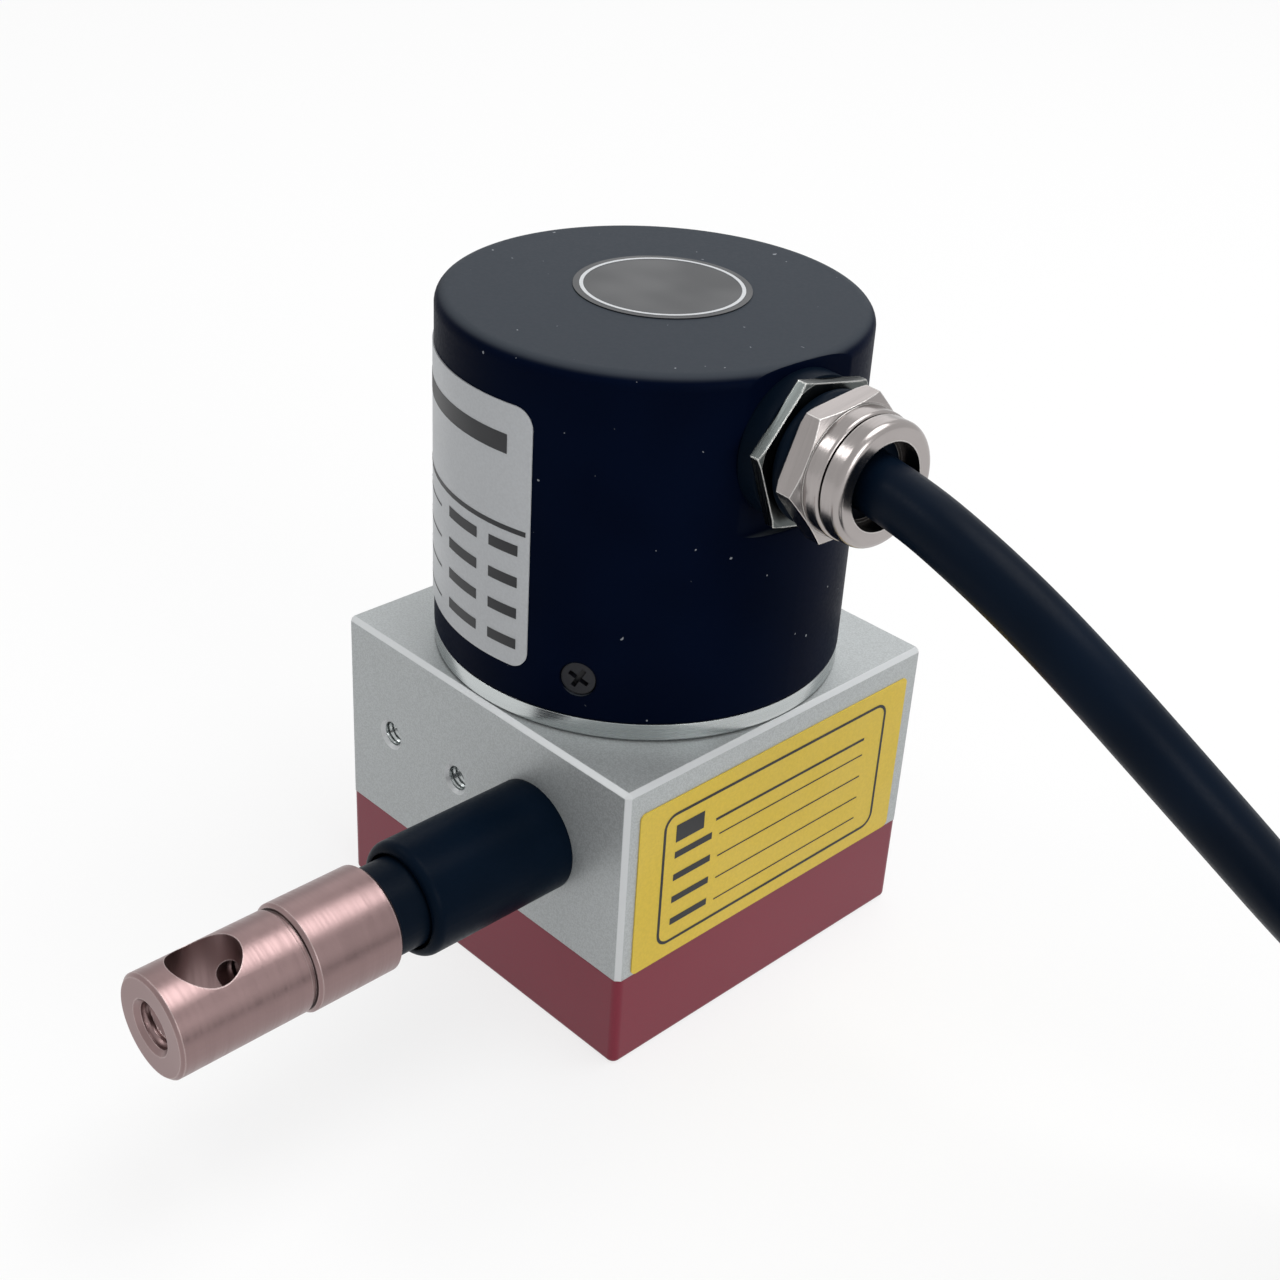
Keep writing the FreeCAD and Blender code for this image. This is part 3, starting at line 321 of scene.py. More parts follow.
@dataclass(frozen=True)
class BlastedMetal:
    """Metal with a fine blasted grain, anodised or bare."""

    name: str
    colour: Colour
    roughness: float = 0.42
    metallic: float = 1.0
    grain: float = 0.16
    grain_depth: float = 0.004
    cloud: float = 6.0
    cloud_share: float = 0.06
    sparkle: float = 0.12
    edge: float = 0.15
    chamfer_highlight_colour: Colour | None = None

    def build(self) -> bpy.types.Material:
        """Grain gives the bump and sparkle, and slow clouds shift tone and gloss.

        Slanted faces such as chamfers take a paler colour where one is given: a painted highlight.
        """
        nodes = start_material(self.name)
        grain = nodes.noise(self.grain, 3.0)
        cloud = nodes.noise(self.cloud, 2.0)
        light = tuple(min(1.0, channel * (1 + self.sparkle)) for channel in self.colour)
        dark = tuple(channel * (1 - self.sparkle) for channel in self.colour)
        speck = nodes.spread(grain, 0.35, 0.65, 0.0, 1.0)
        toned = nodes.blend(speck, dark, light)
        shift = nodes.spread(cloud, 0.3, 0.7, 0.0, self.cloud_share)
        colour = nodes.blend(shift, toned, dark)
        # Painted highlight: chamfers and other slanted faces are lightened.
        if self.chamfer_highlight_colour:
            colour = nodes.blend(nodes.slanted(0.80, 0.95), colour, self.chamfer_highlight_colour)
        rough = nodes.spread(grain, 0.3, 0.7, self.roughness - 0.06, self.roughness + 0.06)
        normal = nodes.bump(grain, self.grain_depth, nodes.edge(self.edge))
        return nodes.shade(Base_Color=colour, Metallic=self.metallic, Roughness=rough,
                           Normal=normal)


@dataclass(frozen=True)
class TurnedMetal:
    """Metal turned on a lathe, with fine rings across one axis."""

    name: str
    colour: Colour
    roughness: float = 0.3
    metallic: float = 1.0
    groove: float = 0.12
    groove_depth: float = 0.0015
    along: Point = (0.0, 1.0, 0.0)
    streak_share: float = 0.10
    edge: float = 0.12
    edge_highlight_colour: Colour | None = None
    recess_shade: float = 0.0

    def build(self) -> bpy.types.Material:
        """Noise stretched round the axis gives the tool's rings and their gloss.

        Sharp edges are lightened with a painted highlight where a highlight colour is given, and
        painted shade darkens the recesses.
        """
        nodes = start_material(self.name)
        stretch = tuple(0.02 + 0.98 * part for part in self.along)
        rings = nodes.noise(self.groove, 3.0, stretch)
        broad = nodes.noise(self.groove * 8, 2.0, stretch)
        stain = nodes.noise(2.5, 3.0)
        dark = tuple(channel * (1 - self.streak_share) for channel in self.colour)
        share = nodes.spread(broad, 0.3, 0.7, 0.0, 1.0)
        streaked = nodes.blend(share, self.colour, dark)
        colour = nodes.blend(nodes.spread(stain, 0.45, 0.8, 0.0, 0.35), streaked, dark)
        # Painted highlight: sharp edges are lightened towards a pale colour.
        if self.edge_highlight_colour:
            colour = nodes.blend(nodes.turned_edges(self.edge * 1.5), colour, self.edge_highlight_colour)
        # Painted shade: the colour darkens to near black where ambient occlusion finds a recess.
        if self.recess_shade:
            share = nodes.calculate("MULTIPLY", nodes.recess(3.0), self.recess_shade)
            shaded_colour = tuple(channel * 0.12 for channel in self.colour)
            colour = nodes.blend(share, colour, shaded_colour)
        rough = nodes.spread(rings, 0.3, 0.7, self.roughness - 0.05, self.roughness + 0.05)
        normal = nodes.bump(rings, self.groove_depth, nodes.edge(self.edge))
        return nodes.shade(Base_Color=colour, Metallic=self.metallic, Roughness=rough,
                           Normal=normal)


@dataclass(frozen=True)
class SatinCoat:
    """Paint, moulded plastic or rubber with a soft skin and faint marks."""

    name: str
    colour: Colour
    roughness: float = 0.4
    bend: float = 1.3
    skin: float = 0.35
    skin_depth: float = 0.004
    wave: float = 9.0
    wave_depth: float = 0.03
    dust: float = 0.0
    dust_colour: Colour = (0.35, 0.37, 0.40)
    lit_top_colour: Colour | None = None
    edge: float = 0.15

    def build(self) -> bpy.types.Material:
        """Fine skin over a slow wave, with a rare pale speck of dust.

        The refractive index, bend, sets how much gloss the skin has. Faces that look up
        take a lighter top colour where one is given: painted light from above.
        """
        nodes = start_material(self.name)
        skin = nodes.noise(self.skin, 2.0)
        wave = nodes.noise(self.wave, 1.0)
        light = tuple(channel * 1.25 for channel in self.colour)
        colour = nodes.blend(nodes.spread(wave, 0.3, 0.7, 0.0, 1.0), self.colour, light)
        # Painted light: faces that look up are lightened, as if lit from above.
        if self.lit_top_colour:
            colour = nodes.blend(nodes.upward(0.55, 0.98), colour, self.lit_top_colour)
        if self.dust:
            speck = nodes.spread(nodes.noise(0.6, 0.0), 0.86, 0.88, 0.0, self.dust)
            colour = nodes.blend(speck, colour, self.dust_colour)
        rough = nodes.spread(skin, 0.3, 0.7, self.roughness - 0.04, self.roughness + 0.04)
        normal = nodes.bump(wave, self.wave_depth, nodes.edge(self.edge))
        return nodes.shade(Base_Color=colour, Roughness=rough, IOR=self.bend,
                           Normal=nodes.bump(skin, self.skin_depth, normal))


@dataclass(frozen=True)
class PrintedFilm:
    """The printed film of a label, with a slightly uneven surface."""

    name: str
    colour: Colour
    roughness: float = 0.45
    specular: float = 0.4

    def build(self) -> bpy.types.Material:
        """Paper fibre varies the tone, and a slow wave keeps the film from lying dead flat."""
        nodes = start_material(self.name)
        fibre = nodes.noise(0.25, 3.0)
        wave = nodes.noise(7.0, 1.0)
        dark = tuple(channel * 0.93 for channel in self.colour)
        colour = nodes.blend(nodes.spread(fibre, 0.3, 0.7, 0.0, 1.0), self.colour, dark)
        rough = nodes.spread(wave, 0.3, 0.7, self.roughness - 0.05, self.roughness + 0.05)
        normal = nodes.bump(wave, 0.02)
        return nodes.shade(Base_Color=colour, Roughness=rough, Specular_IOR_Level=self.specular,
                           Normal=nodes.bump(fibre, 0.002, normal))


@dataclass(frozen=True)
class ClearMoulding:
    """Clear lamp plastic."""

    name: str
    colour: Colour

    def build(self) -> bpy.types.Material:
        """Clear plastic with a faint flow mark."""
        nodes = start_material(self.name)
        flow = nodes.noise(1.5, 1.0)
        return nodes.shade(Base_Color=self.colour, Roughness=0.12, IOR=1.49,
                           Transmission_Weight=0.8, Normal=nodes.bump(flow, 0.01))


class Finishes:
    """The object's finishes."""

    BASE_RED = BlastedMetal("red_anodised", (0.195, 0.008, 0.028), 0.34, 0.35, 0.12, 0.0015,
                            8.0, 0.1, 0.06)
    # The silver block's chamfers carry a painted highlight.
    BLOCK_SILVER = BlastedMetal("blasted_silver", (0.46, 0.485, 0.49), 0.42, 0.35, 0.15, 0.004,
                                chamfer_highlight_colour=(0.66, 0.68, 0.69))
    FLANGE = TurnedMetal("turned_flange", (0.52, 0.55, 0.55), 0.26, along=(0.0, 0.0, 1.0))
    # The cover's upward faces carry painted light from above.
    COVER = SatinCoat("cover_paint", (0.0010, 0.0032, 0.0125), 0.42, 1.06, dust=0.8,
                      lit_top_colour=(0.050, 0.058, 0.070), edge=0.5)
    SCREW_BLACK = SatinCoat("blackened_screw", (0.008, 0.009, 0.013), 0.35, 1.4)
    SCREW_STEEL = TurnedMetal("screw_steel", (0.50, 0.50, 0.52), 0.35, along=(0, 0, 1))
    SPRING = TurnedMetal("spring_steel", (0.36, 0.38, 0.43), 0.22, along=(0, 0, 1))
    BEARING = TurnedMetal("bearing_steel", (0.68, 0.68, 0.70), 0.12, along=(0, 0, 1))
    CAGE = TurnedMetal("cage_steel", (0.55, 0.54, 0.52), 0.35, along=(0, 0, 1))
    DRUM = TurnedMetal("turned_drum", (0.72, 0.72, 0.73), 0.3, along=(0, 0, 1))
    WIRE = TurnedMetal("wire_steel", (0.45, 0.45, 0.47), 0.35, along=(1, 1, 1))
    GASKET = SatinCoat("gasket_paper", (0.008, 0.009, 0.010), 0.8, 1.3)
    RUBBER = SatinCoat("black_rubber", (0.0020, 0.0055, 0.0120), 0.42, 1.12)
    TUBE = SatinCoat("black_tube", (0.0018, 0.0058, 0.0135), 0.36, 1.10, edge=0.3)
    # The gland, the locknut and the rose gold end carry a painted highlight on their sharp edges.
    GLAND = TurnedMetal("gland_nickel", (0.40, 0.37, 0.36), 0.22, along=(1.0, 0.0, 0.0),
                        edge_highlight_colour=(0.78, 0.76, 0.74), recess_shade=0.9)
    LOCKNUT = TurnedMetal("locknut_nickel", (0.09, 0.10, 0.098), 0.24, along=(1.0, 0.0, 0.0),
                          edge=0.16, edge_highlight_colour=(0.72, 0.72, 0.70))
    # The rose gold end and the gland above carry painted shade in their recesses.
    ROSE = TurnedMetal("rose_gold", (0.285, 0.196, 0.193), 0.36, along=(0.0, 1.0, 0.0),
                       groove=0.2, groove_depth=0.0002, streak_share=0.04,
                       edge_highlight_colour=(0.50, 0.40, 0.39), recess_shade=0.95)
    FERRULE = TurnedMetal("ferrule_brass", (0.60, 0.45, 0.22), 0.35, along=(0, 1, 0))
    GUIDE = SatinCoat("guide_ceramic", (0.72, 0.70, 0.64), 0.15, 1.6)
    YELLOW = PrintedFilm("yellow_film", (0.78, 0.56, 0.055))
    WHITE = PrintedFilm("white_film", (0.58, 0.60, 0.62))
    DARK = PrintedFilm("dark_film", (0.010, 0.012, 0.016), 0.38)
    INK = PrintedFilm("black_ink", (0.012, 0.013, 0.016), 0.5)
    PALE_INK = PrintedFilm("pale_ink", (0.62, 0.64, 0.66), 0.5)
    CABLE = SatinCoat("cable_jacket", (0.0019, 0.0058, 0.0140), 0.38, 1.14, wave_depth=0.05)
    LEADS = SatinCoat("lead_insulation", (0.62, 0.62, 0.58), 0.35, 1.45)
    BOARD = SatinCoat("solder_resist", (0.01, 0.09, 0.035), 0.3, 1.5)
    CHIP = SatinCoat("moulded_chip", (0.015, 0.015, 0.016), 0.55, 1.4)
    SOCKET = SatinCoat("moulded_socket", (0.65, 0.63, 0.56), 0.4, 1.45)
    BRASS = TurnedMetal("spacer_brass", (0.65, 0.50, 0.24), 0.3, along=(0, 0, 1))
    DISC = TurnedMetal("etched_disc", (0.5, 0.5, 0.52), 0.2, along=(0, 0, 1))
    LAMP = ClearMoulding("clear_lamp", (0.85, 0.88, 0.92))


class Dresser:
    """Builds each finish once, and puts it on CAD nodes and new pieces."""

    def __init__(self) -> None:
        """Starts with no material made."""
        self.made: dict[str, bpy.types.Material] = {}

    def material(self, finish: object) -> bpy.types.Material:
        """The material of a finish, built at its first use."""
        if finish.name not in self.made:
            self.made[finish.name] = finish.build()
        return self.made[finish.name]

    def dress(self, finish: object, *names: str) -> None:
        """Puts a finish on CAD nodes.

        Args:
            finish: The finish.
            names: The nodes' names.
        """
        for name in names:
            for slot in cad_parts[name].material_slots:
                slot.material = self.material(finish)
            LOG.info("%s is dressed in %s", name, finish.name)


@dataclass
class Piece:
    """One new piece, gathered from grids of points in millimetres."""

    name: str
    body: Body
    finish: object
    slot: str
    dresser: Dresser
    crease: float = 32.0
    points: list[np.ndarray] = field(default_factory=list)
    faces: list[np.ndarray] = field(default_factory=list)
    count: int = 0

    def add_grid(self, grid: np.ndarray, closed: bool = False) -> None:
        """Adds a grid surface: each cell between neighbouring rows and columns is a quad.

        Args:
            grid: Points as rows by columns by 3.
            closed: Whether the last column joins the first.
        """
        rows, columns, _ = grid.shape
        numbers = np.arange(rows * columns).reshape(rows, columns) + self.count
        if closed:
            numbers = np.concatenate([numbers, numbers[:, :1]], axis=1)
        quads = np.stack([numbers[:-1, :-1], numbers[:-1, 1:], numbers[1:, 1:], numbers[1:, :-1]],
                         axis=-1)
        self.points.append(grid.reshape(-1, 3))
        self.faces.append(quads.reshape(-1, 4))
        self.count += rows * columns

    def finish_mesh(self, replaced: Sequence[str] = ()) -> bpy.types.Object:
        """Makes the object, welds its seams and points its faces outwards.

        Args:
            replaced: The CAD nodes that the piece stands for.

        Returns:
            The new object.
        """
        mesh = bpy.data.meshes.new(self.name)
        mesh.from_pydata(np.concatenate(self.points) * MM, [], np.concatenate(self.faces))
        shape = bmesh.new()
        shape.from_mesh(mesh)
        bmesh.ops.remove_doubles(shape, verts=shape.verts, dist=0.002 * MM)
        bmesh.ops.recalc_face_normals(shape, faces=shape.faces)
        shape.to_mesh(mesh)
        shape.free()
        mesh.shade_smooth()
        mesh.set_sharp_from_angle(angle=math.radians(self.crease))
        mesh.materials.append(self.dresser.material(self.finish))
        piece = bpy.data.objects.new(self.name, mesh)
        bpy.context.scene.collection.objects.link(piece)
        if replaced:
            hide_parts(*replaced)
        LOG.info("%s has %d faces", self.name, len(mesh.polygons))
        return piece

    def ride(self, replaced: Sequence[str] = ()) -> bpy.types.Object:
        """Makes the object and lets it ride on its body."""
        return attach(self.finish_mesh(replaced), self.body.value)


@dataclass(frozen=True)
class Axis:
    """A place and direction that a shape built along +Z is turned to."""

    origin: Point
    direction: Point

    def apply(self, points: np.ndarray) -> np.ndarray:
        """Turns and moves points from the local frame to the object's frame."""
        up = Vector((0, 0, 1))
        turn = up.rotation_difference(Vector(self.direction).normalized()).to_matrix()
        return points @ np.array(turn).T + np.array(self.origin)


@dataclass(frozen=True)
class TappedHole:
    """The thread's ridge in a tapped hole: a helix that stands in from the hole's wall."""

    axis: Axis
    radius: float
    ridge: float
    pitch: float
    start: float
    end: float
    around: int = 48
    per_turn: int = 8

    def surface(self) -> np.ndarray:
        """The ridge's surface.

        The radius is the hole's less a triangle wave of the depth in pitches
        minus the angle in turns, so that the wave's crest is one helix.

        Returns:
            The points as rows along the hole by columns round it.
        """
        rows = int((self.end - self.start) / self.pitch * self.per_turn)
        depth = np.linspace(self.start, self.end, rows)[:, None]
        angle = np.linspace(0, 2 * np.pi, self.around, endpoint=False)[None, :]
        phase = (depth / self.pitch - angle / (2 * np.pi)) % 1.0
        wave = 1 - np.abs(2 * phase - 1)
        fade = np.clip((depth - self.start) / self.pitch, 0, 1)
        radius = self.radius - self.ridge * wave * fade
        points = np.stack([radius * np.cos(angle), radius * np.sin(angle),
                           np.broadcast_to(-depth, radius.shape)], axis=-1)
        return self.axis.apply(points)


@dataclass(frozen=True)
class PrintArea:
    """Flat or curved ground that marks are printed on, with a place for every (u, v)."""

    place: Callable[[np.ndarray, np.ndarray], np.ndarray]

    def bar(self, low_u: float, high_u: float, low_v: float, high_v: float) -> np.ndarray:
        """A plain bar between two corners, as a grid."""
        u, v = np.meshgrid(np.linspace(low_u, high_u, 24), np.linspace(low_v, high_v, 2),
                           indexing="ij")
        return self.place(u, v)

    def frame(self, box: tuple[float, float, float, float], corner: float,
              line: float) -> np.ndarray:
        """A line round a box with rounded corners.

        Each corner is a quarter circle about its own centre, and the line lies
        between two such outlines, one line width apart.

        Args:
            box: The low and high u, then the low and high v of the outer outline.
            corner: The outer corners' radius.
            line: The line's width.

        Returns:
            The points as two closed columns of an outline each.
        """
        low_u, high_u, low_v, high_v = box
        turn = np.linspace(0, np.pi / 2, 8)
        turns = (turn + np.arange(4)[:, None] * np.pi / 2).ravel()
        left, right, bottom, top = low_u + corner, high_u - corner, low_v + corner, high_v - corner
        middle_u = np.repeat((right, left, left, right), len(turn))
        middle_v = np.repeat((top, top, bottom, bottom), len(turn))
        outlines = [self.place(middle_u + reach * np.cos(turns), middle_v + reach * np.sin(turns))
                    for reach in (corner, corner - line)]
        return np.stack(outlines)


@dataclass(frozen=True)
class PhotoCamera:
    """The camera at the photographed angle."""

    eye: Point = (111.449, -113.660, 123.141)
    azimuth: float = 44.202
    elevation: float = 30.219
    roll: float = 3.584
    focal: float = 1871.0
    middle_x: float = 642.2
    middle_y: float = 633.9
    frame_size: float = 1280.0
    sensor: float = 36.0
    nearest: float = 0.005
    farthest: float = 20.0

    def build(self) -> None:
        """Places the camera. Its axes come from the view's azimuth, elevation and roll."""
        azimuth, elevation, roll = map(math.radians, (self.azimuth, self.elevation, self.roll))
        back = Vector((math.sin(azimuth) * math.cos(elevation),
                       -math.cos(azimuth) * math.cos(elevation), math.sin(elevation)))
        right = Vector((math.cos(azimuth), math.sin(azimuth), 0))
        up = back.cross(right)
        level = math.cos(roll) * right + math.sin(roll) * up
        upright = -math.sin(roll) * right + math.cos(roll) * up
        data = bpy.data.cameras.new("photo_camera")
        data.sensor_width = self.sensor
        data.lens = self.focal / self.frame_size * self.sensor
        data.shift_x = (self.frame_size / 2 - self.middle_x) / self.frame_size
        data.shift_y = (self.middle_y - self.frame_size / 2) / self.frame_size
        data.clip_start = self.nearest
        data.clip_end = self.farthest
        camera = bpy.data.objects.new("photo_camera", data)
        camera.matrix_world = Matrix((
            (level.x, upright.x, back.x, self.eye[0] * MM),
            (level.y, upright.y, back.y, self.eye[1] * MM),
            (level.z, upright.z, back.z, self.eye[2] * MM),
            (0, 0, 0, 1)))
        bpy.context.scene.collection.objects.link(camera)
        bpy.context.scene.camera = camera
        LOG.info("camera is placed")


@dataclass(frozen=True)
class SoftBox:
    """One area lamp, aimed at a point."""

    name: str
    place: Point
    aim: Point
    size: float
    power: float

    def build(self) -> None:
        """Adds the lamp."""
        data = bpy.data.lights.new(self.name, "AREA")
        data.shape = "DISK"
        data.size = self.size
        data.energy = self.power
        lamp = bpy.data.objects.new(self.name, data)
        lamp.location = self.place
        aim = Vector(self.aim) - Vector(self.place)
        lamp.rotation_euler = aim.to_track_quat("-Z", "Y").to_euler()
        bpy.context.scene.collection.objects.link(lamp)


@dataclass(frozen=True)
class Studio:
    """A pale floor, a white room and soft lamps."""

    floor_reach: float = 3.0
    floor_tone: float = 0.72
    shadow_share: float = 0.32
    floor_glow: float = 1.12
    floor_shade: Colour = (0.75, 0.76, 0.78)
    shade_share: float = 0.05
    shade_size: float = 30.0
    ceiling: float = 0.62
    ceiling_start: float = 0.9
    wall: float = 0.26
    lamps: tuple[SoftBox, ...] = (
        SoftBox("overhead", (0.15, 0.25, 0.9), (0.0, 0.0, 0.03), 0.7, 4.6),
        SoftBox("right_side", (0.9, -0.1, 0.35), (0.0, 0.0, 0.03), 0.5, 2.4),
        SoftBox("back_window", (-0.75, 0.78, 0.68), (0.0, 0.0, 0.05), 0.9, 1.2),
        SoftBox("left_front", (-0.6, -0.5, 0.75), (0.0, 0.0, 0.03), 0.3, 1.0),
    )

    def build(self) -> None:
        """Adds the room, the floor and the lamps."""
        self.add_world()
        self.add_floor()
        for lamp in self.lamps:
            lamp.build()
        bpy.context.scene.view_settings.view_transform = "Standard"
        LOG.info("studio has %d lamps", len(self.lamps))

    def add_world(self) -> None:
        """The room grows brighter from its walls to its ceiling, and shows white."""
        world = bpy.data.worlds.new("white_room")
        bpy.context.scene.world = world
        nodes = NodeTree(world, "ShaderNodeOutputWorld")
        split = nodes.add("ShaderNodeSeparateXYZ")
        nodes.feed(split.inputs[0], nodes.add("ShaderNodeTexCoord").outputs["Generated"])
        height = nodes.add("ShaderNodeMapRange")
        nodes.feed(height.inputs["Value"], split.outputs["Z"])
        height.inputs["From Max"].default_value = self.ceiling_start
        height.inputs["To Min"].default_value = self.wall
        height.inputs["To Max"].default_value = self.ceiling
        strength = nodes.add("ShaderNodeMix")
        nodes.feed(strength.inputs[0], nodes.seen_or_mirrored())
        nodes.feed(strength.inputs[2], height.outputs["Result"])
        nodes.feed(strength.inputs[3], 1.0)
        room = nodes.add("ShaderNodeBackground")
        nodes.feed(room.inputs["Strength"], strength.outputs[0])
        nodes.feed(nodes.output.inputs["Surface"], room.outputs[0])

    def add_floor(self) -> None:
        """A pale floor that the camera sees as white with a soft shadow."""
        nodes = start_material("pale_floor")
        matt = nodes.add("ShaderNodeBsdfDiffuse")
        shade = nodes.spread(nodes.noise(self.shade_size), 0.2, 0.8, 0.0, self.shade_share)
        pale = (self.floor_tone,) * 3
        nodes.feed(matt.inputs["Color"], nodes.blend(shade, pale, self.floor_shade))
        white = nodes.add("ShaderNodeEmission")
        white.inputs["Strength"].default_value = self.floor_glow
        share = nodes.calculate("MULTIPLY", nodes.seen_or_mirrored(), 1 - self.shadow_share)
        mix = nodes.add("ShaderNodeMixShader")
        nodes.feed(mix.inputs[0], share)
        nodes.feed(mix.inputs[1], matt.outputs[0])
        nodes.feed(mix.inputs[2], white.outputs[0])
        nodes.feed(nodes.output.inputs["Surface"], mix.outputs[0])
        reach = self.floor_reach
        mesh = bpy.data.meshes.new("floor")
        mesh.from_pydata([(-reach, -reach, 0), (reach, -reach, 0), (reach, reach, 0),
                          (-reach, reach, 0)], [], [(0, 1, 2, 3)])
        mesh.materials.append(nodes.owner)
        floor = bpy.data.objects.new("floor", mesh)
        bpy.context.scene.collection.objects.link(floor)


@dataclass
class Cable:
    """The signal cable, from the gland to its coil and bare end."""

    dresser: Dresser
    radius: float = 2.65
    length: float = 920.0
    gland_angle: float = -4.0
    gland_height: float = 58.3
    exit_distance: float = 27.4
    route: tuple[Point, ...] = (
        (32.8, -3.0, 58.2), (39.4, -4.0, 57.0), (46.1, -4.1, 54.5), (52.4, -3.3, 50.8),
        (58.1, -1.5, 46.2), (63.3, 1.2, 41.0), (67.9, 4.6, 35.4), (72.2, 8.8, 29.6),
        (77.0, 13.0, 23.9), (82.8, 16.9, 18.7), (90.0, 20.4, 14.3), (99.6, 23.9, 10.8),
        (109.6, 26.8, 9.2))
    tail: tuple[Point, ...] = (
        (154.3, -7.1, 2.7), (154.6, -16.1, 2.7), (154.0, -25.1, 2.7), (152.5, -34.0, 2.7))
    coil_middle: tuple[float, float] = (119.0, -4.0)
    coil_pitch: float = 5.4
    inner_reach: float = 24.1
    lift: float = 0.15
    step: float = 15.0
    arrival: float = 107.0
    departure: float = 1552.0
    crossing: float = 200.0
    crossing_width: float = 100.0

    def exit(self) -> Point:
        """The point where the cable leaves the gland's mouth."""
        angle = math.radians(self.gland_angle)
        return (self.exit_distance * math.cos(angle), self.exit_distance * math.sin(angle),
                self.gland_height)

    def coil(self) -> list[Point]:
        """The coil's turns.

        Turns keep their radius, except in a crossing zone where each steps
        over to the next: two turns lie above three, and the inner upper turn
        comes down inside them. Angles run clockwise from the cable's arrival.

        Returns:
            The control points, evenly spaced in angle.
        """
        low = self.radius
        high = self.radius + self.coil_pitch * math.sqrt(3) / 2
        top = 3 * self.radius + self.lift
        reach = self.inner_reach
        pitch = self.coil_pitch
        zone = self.crossing
        width = self.crossing_width
        marks = [
            (20, reach + 1.5 * pitch, high + 0.5),
            (zone, reach + 1.5 * pitch, high),
            (zone + width * 0.25, reach + 1.25 * pitch, top),
            (zone + width * 0.75, reach + 0.75 * pitch, top),
            (zone + width, reach + 0.5 * pitch, high),
            (zone + 360, reach + 0.5 * pitch, high),
            (zone + 360 + width * 0.25, reach + 0.25 * pitch, top),
            (zone + 360 + width * 0.5, reach - 0.05 * pitch, high),
            (zone + 360 + width * 0.75, reach - 0.22 * pitch, low + 2.2),
            (zone + 360 + width, reach, low),
            (zone + 720, reach, low),
            (zone + 720 + width, reach + pitch, low),
            (zone + 1080, reach + pitch, low),
            (zone + 1080 + width, reach + 2 * pitch, low),
            (self.departure, reach + 2 * pitch, low),
        ]
        turned, radii, heights = zip(*marks)
        angles = np.arange(self.step, self.departure - self.step / 2, self.step)
        widen = 1 / math.cos(math.radians(self.step / 2))
        around = np.radians(self.arrival - angles)
        far = np.interp(angles, turned, radii) * widen
        rise = np.interp(angles, turned, heights)
        x = self.coil_middle[0] + far * np.cos(around)
        y = self.coil_middle[1] + far * np.sin(around)
        return list(map(tuple, np.stack([x, y, rise], axis=1)))

    def build(self) -> None:
        """Draws the cable as one smooth spline through its route, coil and tail."""
        places = [self.exit(), *self.route, *self.coil(), *self.tail]
        curve = bpy.data.curves.new("signal_cable", "CURVE")
        curve.dimensions = "3D"
        curve.bevel_depth = self.radius * MM
        curve.bevel_resolution = 7
        curve.resolution_u = 6
        curve.use_fill_caps = True
        spline = curve.splines.new("NURBS")
        spline.points.add(len(places) - 1)
        for point, place in zip(spline.points, places):
            point.co = (*(part * MM for part in place), 1.0)
        spline.order_u = 3
        spline.use_endpoint_u = True
        curve.materials.append(self.dresser.material(Finishes.CABLE))
        cable = bpy.data.objects.new("signal_cable", curve)
        bpy.context.scene.collection.objects.link(cable)
        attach(cable, Body.HOUSING.value)
        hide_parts("cable_tube", "cable_coil", "cable_tail")
        self.dresser.dress(Finishes.LEADS, "cable_leads")
        LOG.info("cable has %d control points", len(places))


